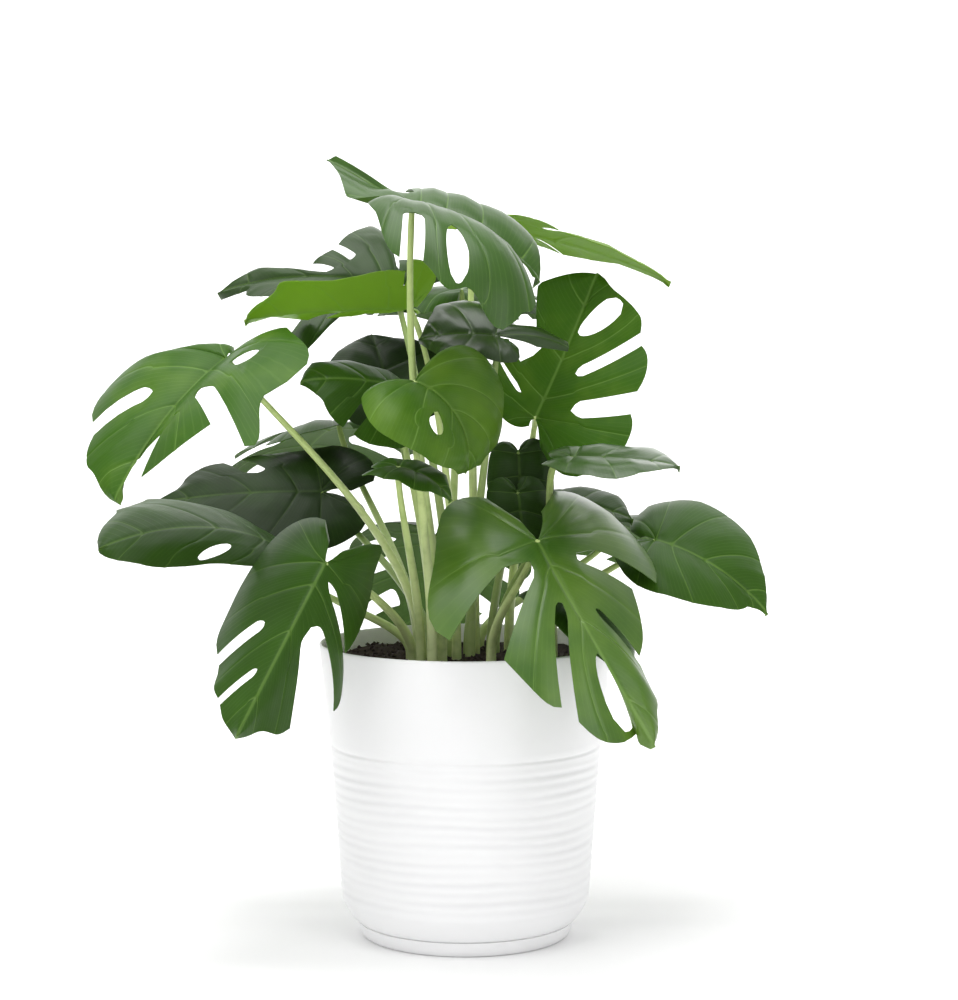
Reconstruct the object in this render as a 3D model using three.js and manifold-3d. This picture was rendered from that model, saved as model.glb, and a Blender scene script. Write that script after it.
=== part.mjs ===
// A potted swiss cheese plant: glossy cut leaves on long stalks, in a rippled white pot on a saucer.
// Millimetres, +Z up. The origin is the middle of the saucer's underside, and the front is toward -Y.

import * as THREE from "three";
import { mergeVertices } from "three/addons/utils/BufferGeometryUtils.js";
import Module from "manifold-3d";

// Pot and saucer
const GAP = 0.3;
const ROUND_STEPS = 40;
const RIM_RADIUS = 127;
const BAND_RADIUS = 117.5;
const FOOT_RADIUS = 107;
const POT_TOP = 255;
const BAND_BOTTOM = 168;
const FOOT_HEIGHT = 30;
const WALL = 2.5;
const FLOOR = 4;
const GROOVE_DEPTH = 1.2;
const RIPPLES = 6;
const RIPPLE_DEPTH = 0.8;
const SAUCER_RADIUS = 92;
const SAUCER_FOOT = 88;
const SAUCER_HEIGHT = 13;
const SAUCER_FLOOR = 3;
const SOIL_BELOW_RIM = 15;
const SOIL_SHARES = [0, 0.3, 0.55, 0.8, 1];
const SOIL_BUMP = 2.5;
const STALK_DEPTH = 16;
const HOLE_RADIUS = 5.2;
const HOLE_SIDES = 10;

// Leaves: thickness of a blade, sizes of a stalk, and the shares that shape every blade
const BLADE = 1.0;
const STALK_BASE_RADIUS = 4.6;
const STALK_TOP_RADIUS = 2.3;
const STALK_SIDES = 6;
const STALK_START = 4;
const STALK_SEARCH = 12;
const SEAT = 0.34;
const STALK_STEPS = 7;
const VEIN_BOW = 0.3;
const FAN_SHARE = 0.3;
const ROOT_POWER = 1.6;
const CLEFT_TURN = 7;
const CORNER = 0.12;
const LOBE_ROUNDING = 0.08;
const QUILT_UP = 1.6;
const QUILT_DOWN = 1.4;
const STRIP_START = 0.84;

// Each leaf: where its stalk meets it, the heading and rise of its midrib there and its turn about
// the midrib (degrees), its length, how far it bends from stalk to tip, how far its halves fold and
// curl (degrees), how far its margin droops, and the width of its slits as a share of a lobe.
// Heading 0 faces the front, 90 the right. "foldLeft" is the left half's fold where the two differ,
// "bow" bends the midrib sideways, and "strip" is where a hole ends on its way to the margin.
// "base" is where the stalk leaves the soil, "knee" is where it bends toward the blade, seen from
// the junction, and "out" how long it runs straight up before.
// Each half of a blade is a row of lobes from the stalk to the tip. A lobe is the direction from the
// midrib (degrees) and the reach from the stalk (mm) of its near corner, the same of its far corner,
// and the share of the blade that stays whole up to the slit after it: 1 is no slit, and a share
// below nought is a slit that the margin closes to a hole. A lift (mm) and a slit width may follow.
const LEAVES = [
  {
    name: "front_right", at: [60, -98, 352], heading: 45, rise: -40, turn: 15,
    length: 199, bend: 27, fold: 2, curl: 24, droop: 8, bow: 0.05, strip: 0.94, slit: 0.2,
    base: [22, -26], knee: [-12, 25, -45],
    right: [
      [163, 66, 137, 93, 1], [115, 90, 61, 122, 0.18, 0, 0.17], [42, 122, 21, 162, 0.16, 0, 0.1],
      [16, 177, 5, 187, -0.05, 0, 0.22], [0, 183, 2, 193],
    ],
    left: [
      [138, 74, 108, 104, 1], [100, 108, 60, 131, 0.31, 0, 0.12], [47, 102, 21, 132, 0.42, 0, 0.05],
      [15, 147, 11, 167, 1], [8, 174, 2, 194],
    ],
  },
  {
    name: "front_left", at: [-112, -142, 338], heading: -32, rise: -46, turn: -39,
    length: 165, bend: 12, fold: -38, curl: 25, droop: 6, slit: 0.2,
    base: [-45, -28], knee: [20, 40, -16],
    right: [
      [157, 56, 113, 88, 1], [101, 89, 76, 95, 1], [68, 98, 43, 117, 0.44, 0, 0.05],
      [27, 126, 19, 142, 0.32, 0, 0.04], [11, 152, 2, 162],
    ],
    left: [
      [150, 50, 140, 78, 1], [124, 66, 61, 84, 0.14, 0, 0.14], [58, 98, 50, 133, 0.21, 0, 0.1],
      [19, 147, 10, 148, 1], [7, 150, 2, 161],
    ],
  },
  {
    name: "right_upright", at: [60, 5, 449], heading: 127, rise: 58, turn: 35,
    length: 139, bend: -16, fold: 15, curl: 0, droop: 5, strip: 0.94, slit: 0.16,
    base: [38, 50], knee: [2, 66, -12],
    right: [
      [138, 48, 123, 78, 1], [99, 95, 71, 95, 0.34, 0, 0.17], [61, 100, 38, 118, 0.27, 0, 0.09],
      [31, 125, 20, 129, -0.12, 0, 0.16], [10, 131, 3, 137],
    ],
    left: [
      [140, 14, 100, 37, 1], [88, 49, 55, 70, 0.34, 0, 0.09], [52, 79, 41, 80, 0.6, 0, 0.19],
      [24, 75, 22, 119, 1], [18, 125, 3, 138],
    ],
  },
  {
    name: "top", at: [-43, -100, 625], heading: 73, rise: -7, turn: 14,
    length: 123, bend: 47, fold: 39, foldLeft: 29, curl: 60, droop: 5, strip: 0.94, out: 0.25, slit: 0.2,
    base: [-20, -34], knee: [-10, 6, -180],
    right: [
      [119, 39, 115, 50, 1], [100, 59, 74, 98, 0.6, 0, 0.12], [62, 104, 50, 128, -0.57, 0, 0.2],
      [46, 128, 34, 163, 1], [28, 150, 21, 148, 0.3, 0, 0.17], [5, 119, 3, 122],
    ],
    left: [
      [177, 49, 152, 75, 1, 12], [143, 94, 139, 109, 0.3, 54, 0.1], [114, 73, 102, 77, 1, 6],
      [94, 70, 78, 63, 1, 3], [63, 63, 53, 71, 1, 0], [46, 92, 6, 116],
    ],
  },
  {
    name: "upper_right", at: [7, 60, 617], heading: 86, rise: -8, turn: -6,
    length: 181, bend: 16, fold: 5, curl: 1, droop: 4, slit: 0.14,
    base: [8, 10], knee: [-6, -2, -60],
    right: [
      [165, 28, 129, 48, 1], [103, 52, 63, 70, 1], [61, 84, 41, 104, 0.6, 0, 0.1], [37, 111, 26, 135, 1],
      [21, 140, 4, 174],
    ],
    left: [
      [165, 28, 129, 48, 1], [102, 54, 62, 71, 1], [60, 84, 43, 104, 0.29, 0, 0.04],
      [40, 111, 25, 137, 1], [21, 145, 3, 176],
    ],
  },
  {
    name: "upper_left", at: [-47, -15, 543], heading: -71, rise: 1, turn: 24,
    length: 147, bend: 10, fold: 24, curl: 6, droop: 3, slit: 0.12,
    base: [-8, -12], knee: [22, 4, -46],
    right: [
      [151, 12, 109, 16, 1], [97, 26, 67, 54, 1], [63, 59, 56, 89, 0.6, 0, 0.07], [51, 112, 31, 118, 1],
      [24, 122, 3, 143],
    ],
    left: [
      [128, 12, 108, 43, 1], [101, 51, 75, 65, 0.5, 0, 0.07], [71, 51, 37, 64, 1], [25, 81, 18, 128, 1],
      [15, 128, 3, 146],
    ],
  },
  {
    name: "upper_back_left", at: [-64, 110, 564], heading: -75, rise: 14, turn: -41,
    length: 161, bend: 42, fold: 22, curl: 35, droop: 5, slit: 0.14,
    base: [-12, 14], knee: [12, -4, -50],
    right: [
      [150, 50, 94, 37, 0.49, 0, 0.13], [85, 59, 76, 83, 1], [68, 78, 40, 69, 0.7, 0, 0.08],
      [29, 69, 14, 82, 0.3, 0, 0.2], [9, 92, 8, 122, 1], [7, 128, 4, 142],
    ],
    left: [
      [165, 18, 129, 21, 1], [115, 20, 70, 31, 1], [59, 43, 51, 84, 1],
      [51, 106, 48, 132, 0.33, 0, 0.04], [19, 109, 10, 134, 1], [6, 132, 2, 156],
    ],
  },
  {
    name: "grey", at: [27, -38, 520], heading: -84, rise: 8, turn: -36,
    length: 67, bend: 25, fold: 15, curl: 20, droop: 3, slit: 0.12,
    base: [4, -6], knee: [0, 6, -50],
    right: [[171, 66, 161, 68, 1], [134, 26, 84, 42, 1], [61, 58, 37, 65, 1], [30, 62, 5, 65]],
    left: [[152, 20, 132, 28, 1], [118, 36, 72, 38, 1], [62, 45, 34, 58, 1], [28, 58, 4, 65]],
  },
  {
    name: "lens", at: [88, -97, 421], heading: 76, rise: 2, turn: 11,
    length: 90, bend: 12, fold: 8, curl: 18, droop: 3, out: 0.8, slit: 0.12,
    base: [75, -14], knee: [-26, 84, 0],
    right: [[164, 17, 124, 33, 1], [108, 36, 67, 51, 1], [58, 57, 33, 71, 1], [27, 74, 4, 87]],
    left: [[161, 20, 120, 36, 1], [108, 39, 73, 53, 1], [63, 58, 36, 71, 1], [29, 74, 4, 87]],
  },
  {
    name: "centre", at: [-40, -130, 484], heading: 70, rise: -18, turn: 31,
    length: 92, bend: 110, fold: 23, curl: 27, droop: 4, strip: 0.5, slit: 0.2,
    base: [-28, -48], knee: [-6, 20, -45],
    right: [
      [160, 18, 128, 44, 1], [114, 53, 82, 73, 1], [75, 75, 53, 77, -0.35, 0, 0.2], [49, 78, 28, 77, 1],
      [20, 81, 3, 89],
    ],
    left: [
      [91, 15, 82, 62, 1], [76, 74, 51, 86, 1], [44, 86, 30, 98, 1], [26, 101, 14, 97, 1],
      [10, 93, 3, 91],
    ],
  },
  {
    name: "centre_left", at: [-62, -35, 479], heading: -56, rise: 12, turn: -42,
    length: 83, bend: 24, fold: -10, curl: 22, droop: 3, slit: 0.14,
    base: [-28, -18], knee: [8, 12, -40],
    right: [[161, 23, 118, 41, 1], [105, 44, 69, 58, 1], [59, 63, 35, 72, 1], [28, 72, 4, 80]],
    left: [[153, 36, 88, 59, 1], [77, 60, 47, 66, 0.5], [39, 69, 20, 72, 1], [17, 72, 3, 80]],
  },
  {
    name: "far_left", at: [-197, -85, 502], heading: -40, rise: -28, turn: -2,
    length: 165, bend: 28, fold: 27, curl: 40, droop: 5, strip: 0.3, slit: 0.16,
    base: [-38, -8], knee: [35, 10, -50],
    right: [
      [150, 26, 104, 30, 1], [84, 42, 71, 80, 1], [68, 95, 38, 126, 0.4, 0, 0.1], [27, 132, 14, 150, 1],
      [12, 151, 3, 164],
    ],
    left: [
      [164, 34, 148, 52, 1], [122, 60, 88, 93, -0.33, 0, 0.12], [60, 100, 45, 156, 0.27, 0, 0.12],
      [36, 120, 4, 152, 0.7, 0, 0.25], [-2, 152, 0, 162],
    ],
  },
  {
    name: "mid_left", at: [-131, 100, 379], heading: -86, rise: 1, turn: -35,
    length: 154, bend: 12, fold: 4, curl: 18, droop: 5, slit: 0.14,
    base: [-30, 10], knee: [25, 0, -35],
    right: [
      [156, 52, 102, 80, 1], [94, 78, 69, 78, 1], [62, 80, 38, 98, 0.5], [31, 108, 16, 128, 1],
      [13, 130, 2, 149],
    ],
    left: [
      [164, 34, 127, 59, 1], [110, 63, 72, 75, 1], [64, 79, 40, 100, 1], [33, 109, 17, 128, 1],
      [14, 130, 2, 149],
    ],
  },
  {
    name: "low_left", at: [-156, -12, 337], heading: -49, rise: 29, turn: -27,
    length: 168, bend: 58, fold: -3, curl: 17, droop: 4, slit: 0.13,
    base: [-48, -6], knee: [14, 12, -50],
    right: [
      [165, 28, 125, 51, 1], [103, 65, 62, 88, 1], [59, 100, 46, 135, 1], [42, 137, 31, 155, 1],
      [28, 152, 5, 166],
    ],
    left: [
      [160, 26, 129, 33, 1], [106, 34, 66, 44, 1], [46, 68, 26, 101, -0.5, 0, 0.12],
      [22, 119, 15, 147, 1], [12, 153, 3, 167],
    ],
  },
  {
    name: "right_heart", at: [165, 12, 343], heading: 61, rise: -11, turn: 24,
    length: 118, bend: 45, fold: 10, curl: 19, droop: 3, slit: 0.12,
    base: [44, 4], knee: [-40, 4, -30],
    right: [
      [157, 25, 103, 50, 1], [92, 57, 61, 76, 1], [52, 80, 29, 93, 1], [22, 97, 9, 102, 1],
      [8, 102, 1, 114],
    ],
    left: [
      [161, 31, 127, 60, 1], [120, 68, 93, 81, 1], [82, 82, 50, 88, 1], [39, 91, 18, 98, 1],
      [15, 100, 2, 114],
    ],
  },
  {
    name: "shade_top", at: [-70, 110, 470], heading: -160, rise: 50, turn: -10,
    length: 80, bend: 20, fold: 10, curl: 15, droop: 3, slit: 0.12,
    base: [-24, 28], knee: [10, -12, -50],
    right: [[163, 30, 126, 50, 1], [114, 52, 76, 60, 1], [64, 64, 36, 69, 1], [29, 69, 4, 77]],
    left: [[163, 30, 126, 49, 1], [114, 50, 76, 56, 1], [64, 60, 36, 66, 1], [29, 68, 4, 78]],
  },
  {
    name: "shade_right", at: [79, 45, 375], heading: 72, rise: -2, turn: 18,
    length: 72, bend: 22, fold: 6, curl: 12, droop: 3, slit: 0.12,
    base: [26, 34], knee: [-10, 2, -40],
    right: [[158, 13, 126, 22, 1], [112, 28, 76, 38, 1], [64, 44, 36, 56, 1], [29, 60, 4, 69]],
    left: [[158, 13, 126, 22, 1], [112, 28, 76, 38, 1], [64, 44, 36, 56, 1], [29, 60, 4, 69]],
  },
  {
    name: "shade_mid", at: [46, 25, 419], heading: 8, rise: -70, turn: 0,
    length: 76, bend: 18, fold: 8, curl: 15, droop: 3, slit: 0.12,
    base: [2, 34], knee: [-4, 26, -26],
    right: [[150, 10, 122, 17, 1], [108, 20, 76, 27, 1], [60, 32, 34, 47, 1], [27, 50, 4, 72]],
    left: [[150, 11, 122, 20, 1], [108, 23, 76, 29, 1], [60, 34, 34, 50, 1], [27, 53, 4, 75]],
  },
  {
    name: "shade_low", at: [45, -6, 386], heading: 20, rise: -66, turn: 0,
    length: 58, bend: 18, fold: 6, curl: 18, droop: 2, slit: 0.12,
    base: [22, 14], knee: [-2, 16, -22],
    right: [[158, 13, 124, 22, 1], [110, 25, 76, 30, 1], [62, 34, 36, 45, 1], [29, 47, 4, 56]],
    left: [[158, 13, 124, 22, 1], [110, 25, 76, 30, 1], [62, 34, 36, 45, 1], [29, 47, 4, 56]],
  },
  {
    name: "low_right", at: [79, -74, 308], heading: 65, rise: -14, turn: 3,
    length: 95, bend: 70, fold: 6, curl: 25, droop: 3, slit: 0.12,
    base: [44, -14], knee: [-14, 14, -16],
    right: [[163, 24, 126, 40, 1], [114, 42, 76, 55, 1], [64, 61, 36, 76, 1], [29, 78, 4, 92]],
    left: [[163, 24, 126, 40, 1], [114, 42, 76, 55, 1], [64, 61, 36, 76, 1], [29, 78, 4, 92]],
  },
  {
    name: "small", at: [-54, -132, 415], heading: 75, rise: -6, turn: 12,
    length: 53, bend: 50, fold: 6, curl: 15, droop: 2, slit: 0.12,
    base: [-38, -36], knee: [0, 12, -40],
    right: [[165, 24, 133, 32, 1], [118, 28, 75, 28, 1], [64, 32, 36, 42, 1], [29, 43, 4, 51]],
    left: [[165, 26, 133, 34, 1], [118, 29, 75, 28, 1], [64, 32, 36, 42, 1], [29, 43, 4, 51]],
  },
  {
    name: "back_high", at: [-4, 154, 562], heading: 178, rise: 8, turn: 0,
    length: 150, bend: 45, fold: 5, curl: 25, droop: 6, slit: 0.16,
    base: [-14, 62], knee: [0, 10, -60],
    right: [
      [164, 43, 134, 73, 1], [123, 76, 95, 85, 0.35], [87, 89, 62, 104, 0.35], [54, 110, 32, 123, 0.5],
      [26, 126, 4, 145],
    ],
    left: [
      [164, 43, 134, 73, 1], [123, 76, 95, 85, 0.4], [87, 89, 62, 104, 0.35], [54, 110, 32, 123, 0.5],
      [26, 126, 4, 145],
    ],
  },
  {
    name: "back_left", at: [-120, 188, 436], heading: -150, rise: -12, turn: 0,
    length: 160, bend: 40, fold: 5, curl: 25, droop: 6, slit: 0.16,
    base: [-42, 34], knee: [8, -6, -50],
    right: [
      [164, 43, 134, 73, 1], [123, 76, 95, 87, 0.35], [87, 91, 62, 108, 0.35], [54, 114, 32, 130, 0.5],
      [26, 134, 4, 155],
    ],
    left: [
      [164, 43, 134, 73, 1], [123, 76, 95, 87, 0.4], [87, 91, 62, 108, 0.35], [54, 114, 32, 130, 0.5],
      [26, 134, 4, 155],
    ],
  },
  {
    name: "back_right", at: [143, 144, 352], heading: 157, rise: -8, turn: 0,
    length: 150, bend: 40, fold: 5, curl: 25, droop: 6, slit: 0.16,
    base: [12, 60], knee: [-12, -10, -50],
    right: [
      [164, 41, 134, 70, 1], [123, 73, 95, 83, 0.35], [87, 86, 62, 101, 0.35], [54, 107, 32, 122, 0.5],
      [26, 125, 4, 145],
    ],
    left: [
      [164, 41, 134, 70, 1], [123, 73, 95, 83, 0.4], [87, 86, 62, 101, 0.35], [54, 107, 32, 122, 0.5],
      [26, 125, 4, 145],
    ],
  },
  {
    name: "back_low", at: [-30, 168, 333], heading: -175, rise: -30, turn: 0,
    length: 151, bend: 35, fold: 5, curl: 25, droop: 6, slit: 0.16,
    base: [-30, 62], knee: [0, -25, -35],
    right: [
      [164, 43, 134, 73, 1], [123, 76, 95, 86, 0.35], [87, 90, 62, 105, 0.35], [54, 111, 32, 124, 0.5],
      [26, 127, 4, 146],
    ],
    left: [
      [164, 43, 134, 73, 1], [123, 76, 95, 86, 0.4], [87, 90, 62, 105, 0.35], [54, 111, 32, 124, 0.5],
      [26, 127, 4, 146],
    ],
  },
];

// Soft colours of the plant and the pot
const COLOURS = {
  pot: 0xf2f2f4,
  saucer: 0xf2f2f4,
  soil: 0x2b1d18,
  blade: 0x3f7a2a,
  stalk: 0xb4c878,
};

const wasm = await Module();
wasm.setup();

const radians = (degrees) => (degrees * Math.PI) / 180;
const clamp = (value) => Math.min(1, Math.max(0, value));

// A smooth curve through values at rising stations. Its slope at a station is the harmonic mean of the
// slopes on its two sides, and none where they differ in sign.
function smoothAt(stations, values, k) {
  const last = stations.length - 1;
  const rise = (i) => (values[i + 1] - values[i]) / (stations[i + 1] - stations[i]);
  const slope = (i) => {
    const a = rise(Math.max(0, i - 1));
    const b = rise(Math.min(last - 1, i));
    return a * b > 0 ? (2 * a * b) / (a + b) : 0;
  };
  let i = 0;
  while (i < last - 1 && k >= stations[i + 1]) i += 1;
  const h = stations[i + 1] - stations[i];
  const s = clamp((k - stations[i]) / h);
  const s2 = s * s;
  const s3 = s2 * s;
  return (
    (2 * s3 - 3 * s2 + 1) * values[i] + (s3 - 2 * s2 + s) * h * slope(i) +
    (3 * s2 - 2 * s3) * values[i + 1] + (s3 - s2) * h * slope(i + 1)
  );
}

// The margin of one half blade as direction and reach, over k from the cleft at the stalk to the tip:
// two corners of every lobe in turn.
function marginOf(leaf, lobes) {
  const corners = lobes.flatMap((_, i) => [i + CORNER, i + 1 - CORNER]);
  return {
    stations: [0, ...corners, lobes.length],
    turns: [lobes[0][0] + CLEFT_TURN, ...lobes.flatMap((l) => [l[0], l[2]]), 0],
    reaches: [lobes[0][1] * 0.55, ...lobes.flatMap((l) => [l[1], l[3]]), leaf.length],
  };
}

// A point of the flat half blade: t runs along a side vein from the midrib to the margin. The veins
// of the first lobes fan out from the stalk, and the others leave the midrib ever farther apart.
function flatPoint(leaf, lobes, margin, k, t) {
  const turn = radians(smoothAt(margin.stations, margin.turns, k));
  const reach = smoothAt(margin.stations, margin.reaches, k);
  const endX = reach * Math.sin(turn);
  const endY = reach * Math.cos(turn);
  const fan = FAN_SHARE * lobes.length;
  const root = leaf.length * clamp((k - fan) / (lobes.length - fan)) ** ROOT_POWER;
  const bowX = endX / 2;
  const bowY = root + VEIN_BOW * (endY - root);
  const s = 1 - t;
  return {
    x: 2 * t * s * bowX + t * t * endX,
    y: s * s * root + 2 * t * s * bowY + t * t * endY,
  };
}

// How far the midrib bows sideways at y: a parabola that runs on straight past both ends.
function asideAt(leaf, y) {
  const s = y / leaf.length;
  const share = s < 0 ? s : s > 1 ? 1 - s : s * (1 - s);
  return 4 * (leaf.bow ?? 0) * leaf.length * share;
}

// Bends a flat point into the leaf's own form: the midrib arches down from the stalk to the tip, the
// halves fold up from it and curl down toward the margin.
function bent(leaf, x, y, lift) {
  const away = Math.abs(x);
  const fold = x < 0 ? leaf.foldLeft ?? leaf.fold : leaf.fold;
  const across = radians(fold) - (radians(leaf.curl) * away) / leaf.length;
  const height = away * Math.sin(across) + lift;
  const along = (-0.5 * radians(leaf.bend) * y) / leaf.length;
  return new THREE.Vector3(
    Math.sign(x) * away * Math.cos(across) + asideAt(leaf, y),
    y * Math.cos(along) - height * Math.sin(2 * along),
    y * Math.sin(along) + height * Math.cos(2 * along),
  );
}

// The leaf's own axes: x to its right, y along the midrib, z out of its upper face.
function leafAxes(leaf) {
  const heading = radians(leaf.heading);
  const rise = radians(leaf.rise);
  const y = new THREE.Vector3(
    Math.sin(heading) * Math.cos(rise), -Math.cos(heading) * Math.cos(rise), Math.sin(rise),
  );
  const side = new THREE.Vector3(-Math.cos(heading), -Math.sin(heading), 0);
  const up = new THREE.Vector3().crossVectors(side, y);
  const turn = radians(leaf.turn);
  const x = side.clone().multiplyScalar(Math.cos(turn)).addScaledVector(up, -Math.sin(turn));
  const z = up.clone().multiplyScalar(Math.cos(turn)).addScaledVector(side, Math.sin(turn));
  return { x, y, z };
}

const isSlit = (share) => share < 0.95;

// Half the width of the slit after a lobe at u, the way from its inner end to the margin. A lobe with
// a share below nought has its slit closed by a strip of margin, as a hole.
function slitHalfWidth(leaf, lobe, u) {
  if (!lobe || !isSlit(lobe[4])) return 0;
  const width = lobe[6] ?? leaf.slit;
  const strip = leaf.strip ?? STRIP_START;
  if (lobe[4] < 0) return u < strip ? 1.3 * width * Math.sqrt(Math.sin((Math.PI * u) / strip)) : 0;
  return width * Math.sqrt(clamp(u / 0.12)) * (1.5 - 0.5 * u);
}

// The share of the blade that stays whole at k, between the inner ends of the slits beside it.
function wholeShare(lobes, k) {
  const shares = lobes.slice(0, -1).map((l) => Math.min(Math.abs(l[4]), 0.6));
  const place = Math.min(Math.max(k, 1), shares.length) - 1;
  const i = Math.min(Math.floor(place), shares.length - 2);
  return shares[i] + (shares[i + 1] - shares[i]) * (place - i);
}

// One lobe of a half blade as a grid: rows from the midrib to the margin, three columns across. The
// blade swells between two joined side veins, falls toward a slit and droops toward the margin.
function lobeGrid(leaf, side, i) {
  const lobes = leaf[side];
  const margin = marginOf(leaf, lobes);
  const sign = side === "right" ? 1 : -1;
  const last = lobes.length - 1;
  const before = i > 0 ? lobes[i - 1] : null;
  const after = i < last ? lobes[i] : null;
  const liftOf = (j) => lobes[j]?.[5] ?? 0;
  const strip = leaf.strip ?? STRIP_START;
  const holed = lobes.some((l) => l[4] < 0);
  const tips = holed ? [0.12 * strip, strip / 2, strip, 1] : [0.12, 0.5, 1];
  const rows = [[0, 0], [1, 0], ...tips.map((u) => [1, u])];
  return rows.map(([w, u]) => [0, 0.5, 1].map((c) => {
    const from = slitHalfWidth(leaf, before, u);
    const to = slitHalfWidth(leaf, after, u);
    const k = i + from + c * (1 - from - to);
    const whole = wholeShare(lobes, k);
    const border = c === 0 ? before : after;
    const cut = c !== 0.5 && border && isSlit(border[4]);
    const end = cut && border[4] > 0 ? 1 - LOBE_ROUNDING : 1;
    const t = u > 0 ? whole + u * end * (1 - whole) : w * whole;
    const flat = flatPoint(leaf, lobes, margin, k, t);
    const sway = 1 + 0.5 * Math.sin(2.4 * k + leaf.length + (side === "left" ? 1.7 : 0));
    const joined = c !== 0.5 && border && !cut;
    const quilt = c === 0.5 ? 0 : (joined ? QUILT_UP : -QUILT_DOWN) * clamp(2.2 * t);
    const lift = joined ? (liftOf(i) + liftOf(c === 0 ? i - 1 : i + 1)) / 2 : liftOf(i);
    return bent(leaf, sign * flat.x, flat.y, quilt + (lift - leaf.droop * sway) * u * u);
  }));
}

// Gathers both halves of a blade into one sheet of points and triangles, welded where lobes meet.
function bladeSheet(leaf) {
  const places = new Map();
  const points = [];
  const triangles = [];
  const { x, y, z } = leafAxes(leaf);
  const at = new THREE.Vector3(...leaf.at);
  const indexOf = (p) => {
    const key = [p.x, p.y, p.z].map((v) => Math.round(v * 1000)).join(",");
    if (!places.has(key)) {
      places.set(key, points.length);
      points.push(at.clone().addScaledVector(x, p.x).addScaledVector(y, p.y).addScaledVector(z, p.z));
    }
    return places.get(key);
  };
  const addTriangle = (a, b, c) => {
    if (a !== b && b !== c && c !== a) triangles.push([a, b, c]);
  };
  for (const side of ["right", "left"]) {
    for (let i = 0; i < leaf[side].length; i += 1) {
      const grid = lobeGrid(leaf, side, i).map((row) => row.map(indexOf));
      for (let r = 0; r + 1 < grid.length; r += 1) {
        for (let c = 0; c < 2; c += 1) {
          const [a, b, d, e] = [grid[r][c], grid[r][c + 1], grid[r + 1][c], grid[r + 1][c + 1]];
          if (side === "right") {
            addTriangle(a, e, b);
            addTriangle(a, d, e);
          } else {
            addTriangle(a, b, e);
            addTriangle(a, e, d);
          }
        }
      }
    }
  }
  return { points, triangles };
}

// Gives a sheet its thickness: both faces have the same triangles, and walls close its open edges.
function thicken({ points, triangles }, thickness) {
  const normals = points.map(() => new THREE.Vector3());
  const edges = new Map();
  for (const [a, b, c] of triangles) {
    const ab = points[b].clone().sub(points[a]);
    const ac = points[c].clone().sub(points[a]);
    const normal = ab.cross(ac);
    for (const i of [a, b, c]) normals[i].add(normal);
    for (const [from, to] of [[a, b], [b, c], [c, a]]) edges.set(`${from}_${to}`, [from, to]);
  }
  normals.forEach((n) => n.normalize().multiplyScalar(thickness / 2));
  const upper = points.map((p, i) => p.clone().add(normals[i]));
  const lower = points.map((p, i) => p.clone().sub(normals[i]));
  const count = points.length;
  const faces = [];
  for (const [a, b, c] of triangles) faces.push([a, b, c], [a + count, c + count, b + count]);
  for (const [from, to] of edges.values()) {
    if (edges.has(`${to}_${from}`)) continue;
    faces.push([to, from, from + count], [to, from + count, to + count]);
  }
  return { points: [...upper, ...lower], faces };
}

function geometryOf({ points, faces }) {
  const geometry = new THREE.BufferGeometry();
  const places = new Float32Array(points.flatMap((p) => [p.x, p.y, p.z]));
  geometry.setAttribute("position", new THREE.BufferAttribute(places, 3));
  geometry.setIndex(faces.flat());
  return geometry;
}

// A closed round rod through rings of points, whose sides start across the direction "across".
function rodThrough(centres, radiusAt, across, sides) {
  const last = centres.length - 1;
  const points = [];
  const faces = [];
  centres.forEach((centre, i) => {
    const way = centres[Math.min(i + 1, last)].clone().sub(centres[Math.max(i - 1, 0)]).normalize();
    const first = across.clone().addScaledVector(way, -across.dot(way)).normalize();
    const second = new THREE.Vector3().crossVectors(way, first);
    for (let j = 0; j < sides; j += 1) {
      const angle = (2 * Math.PI * j) / sides;
      points.push(centre.clone()
        .addScaledVector(first, radiusAt(i / last) * Math.cos(angle))
        .addScaledVector(second, radiusAt(i / last) * Math.sin(angle)));
    }
  });
  for (let i = 0; i < last; i += 1) {
    for (let j = 0; j < sides; j += 1) {
      const a = i * sides + j;
      const b = i * sides + ((j + 1) % sides);
      faces.push([a, b, b + sides], [a, b + sides, a + sides]);
    }
  }
  const end = last * sides;
  for (let j = 1; j + 1 < sides; j += 1) {
    faces.push([0, j + 1, j], [end, end + j, end + j + 1]);
  }
  return { points, faces };
}

const SOIL_TOP = POT_TOP - SOIL_BELOW_RIM;

// How far a point can move along a direction before it meets one of the faces.
function roomAlong(point, way, { points, faces }) {
  const ray = new THREE.Ray(point.clone().addScaledVector(way, -STALK_SEARCH), way);
  const hit = new THREE.Vector3();
  let room = STALK_SEARCH;
  for (const [a, b, c] of faces) {
    if (ray.intersectTriangle(points[a], points[b], points[c], false, hit)) {
      room = Math.min(room, hit.distanceTo(ray.origin) - STALK_SEARCH);
    }
  }
  return room;
}

// The stalk rises straight out of the soil, then leans and bends at its knee to meet the blade.
function stalkTo(leaf, end) {
  const [bx, by] = leaf.base;
  const out = new THREE.Vector3(bx, by, SOIL_TOP + 5);
  const curve = new THREE.CubicBezierCurve3(
    out,
    new THREE.Vector3(bx, by, SOIL_TOP + (leaf.out ?? 0.4) * (end.z - SOIL_TOP)),
    end.clone().add(new THREE.Vector3(...leaf.knee)),
    end,
  );
  const centres = [new THREE.Vector3(bx, by, SOIL_TOP - STALK_DEPTH), ...curve.getPoints(STALK_STEPS)];
  const across = new THREE.Vector3(by - end.y, end.x - bx, 0);
  const radiusAt = (s) => STALK_BASE_RADIUS + (STALK_TOP_RADIUS - STALK_BASE_RADIUS) * s;
  return rodThrough(centres, radiusAt, across, STALK_SIDES);
}

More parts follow.
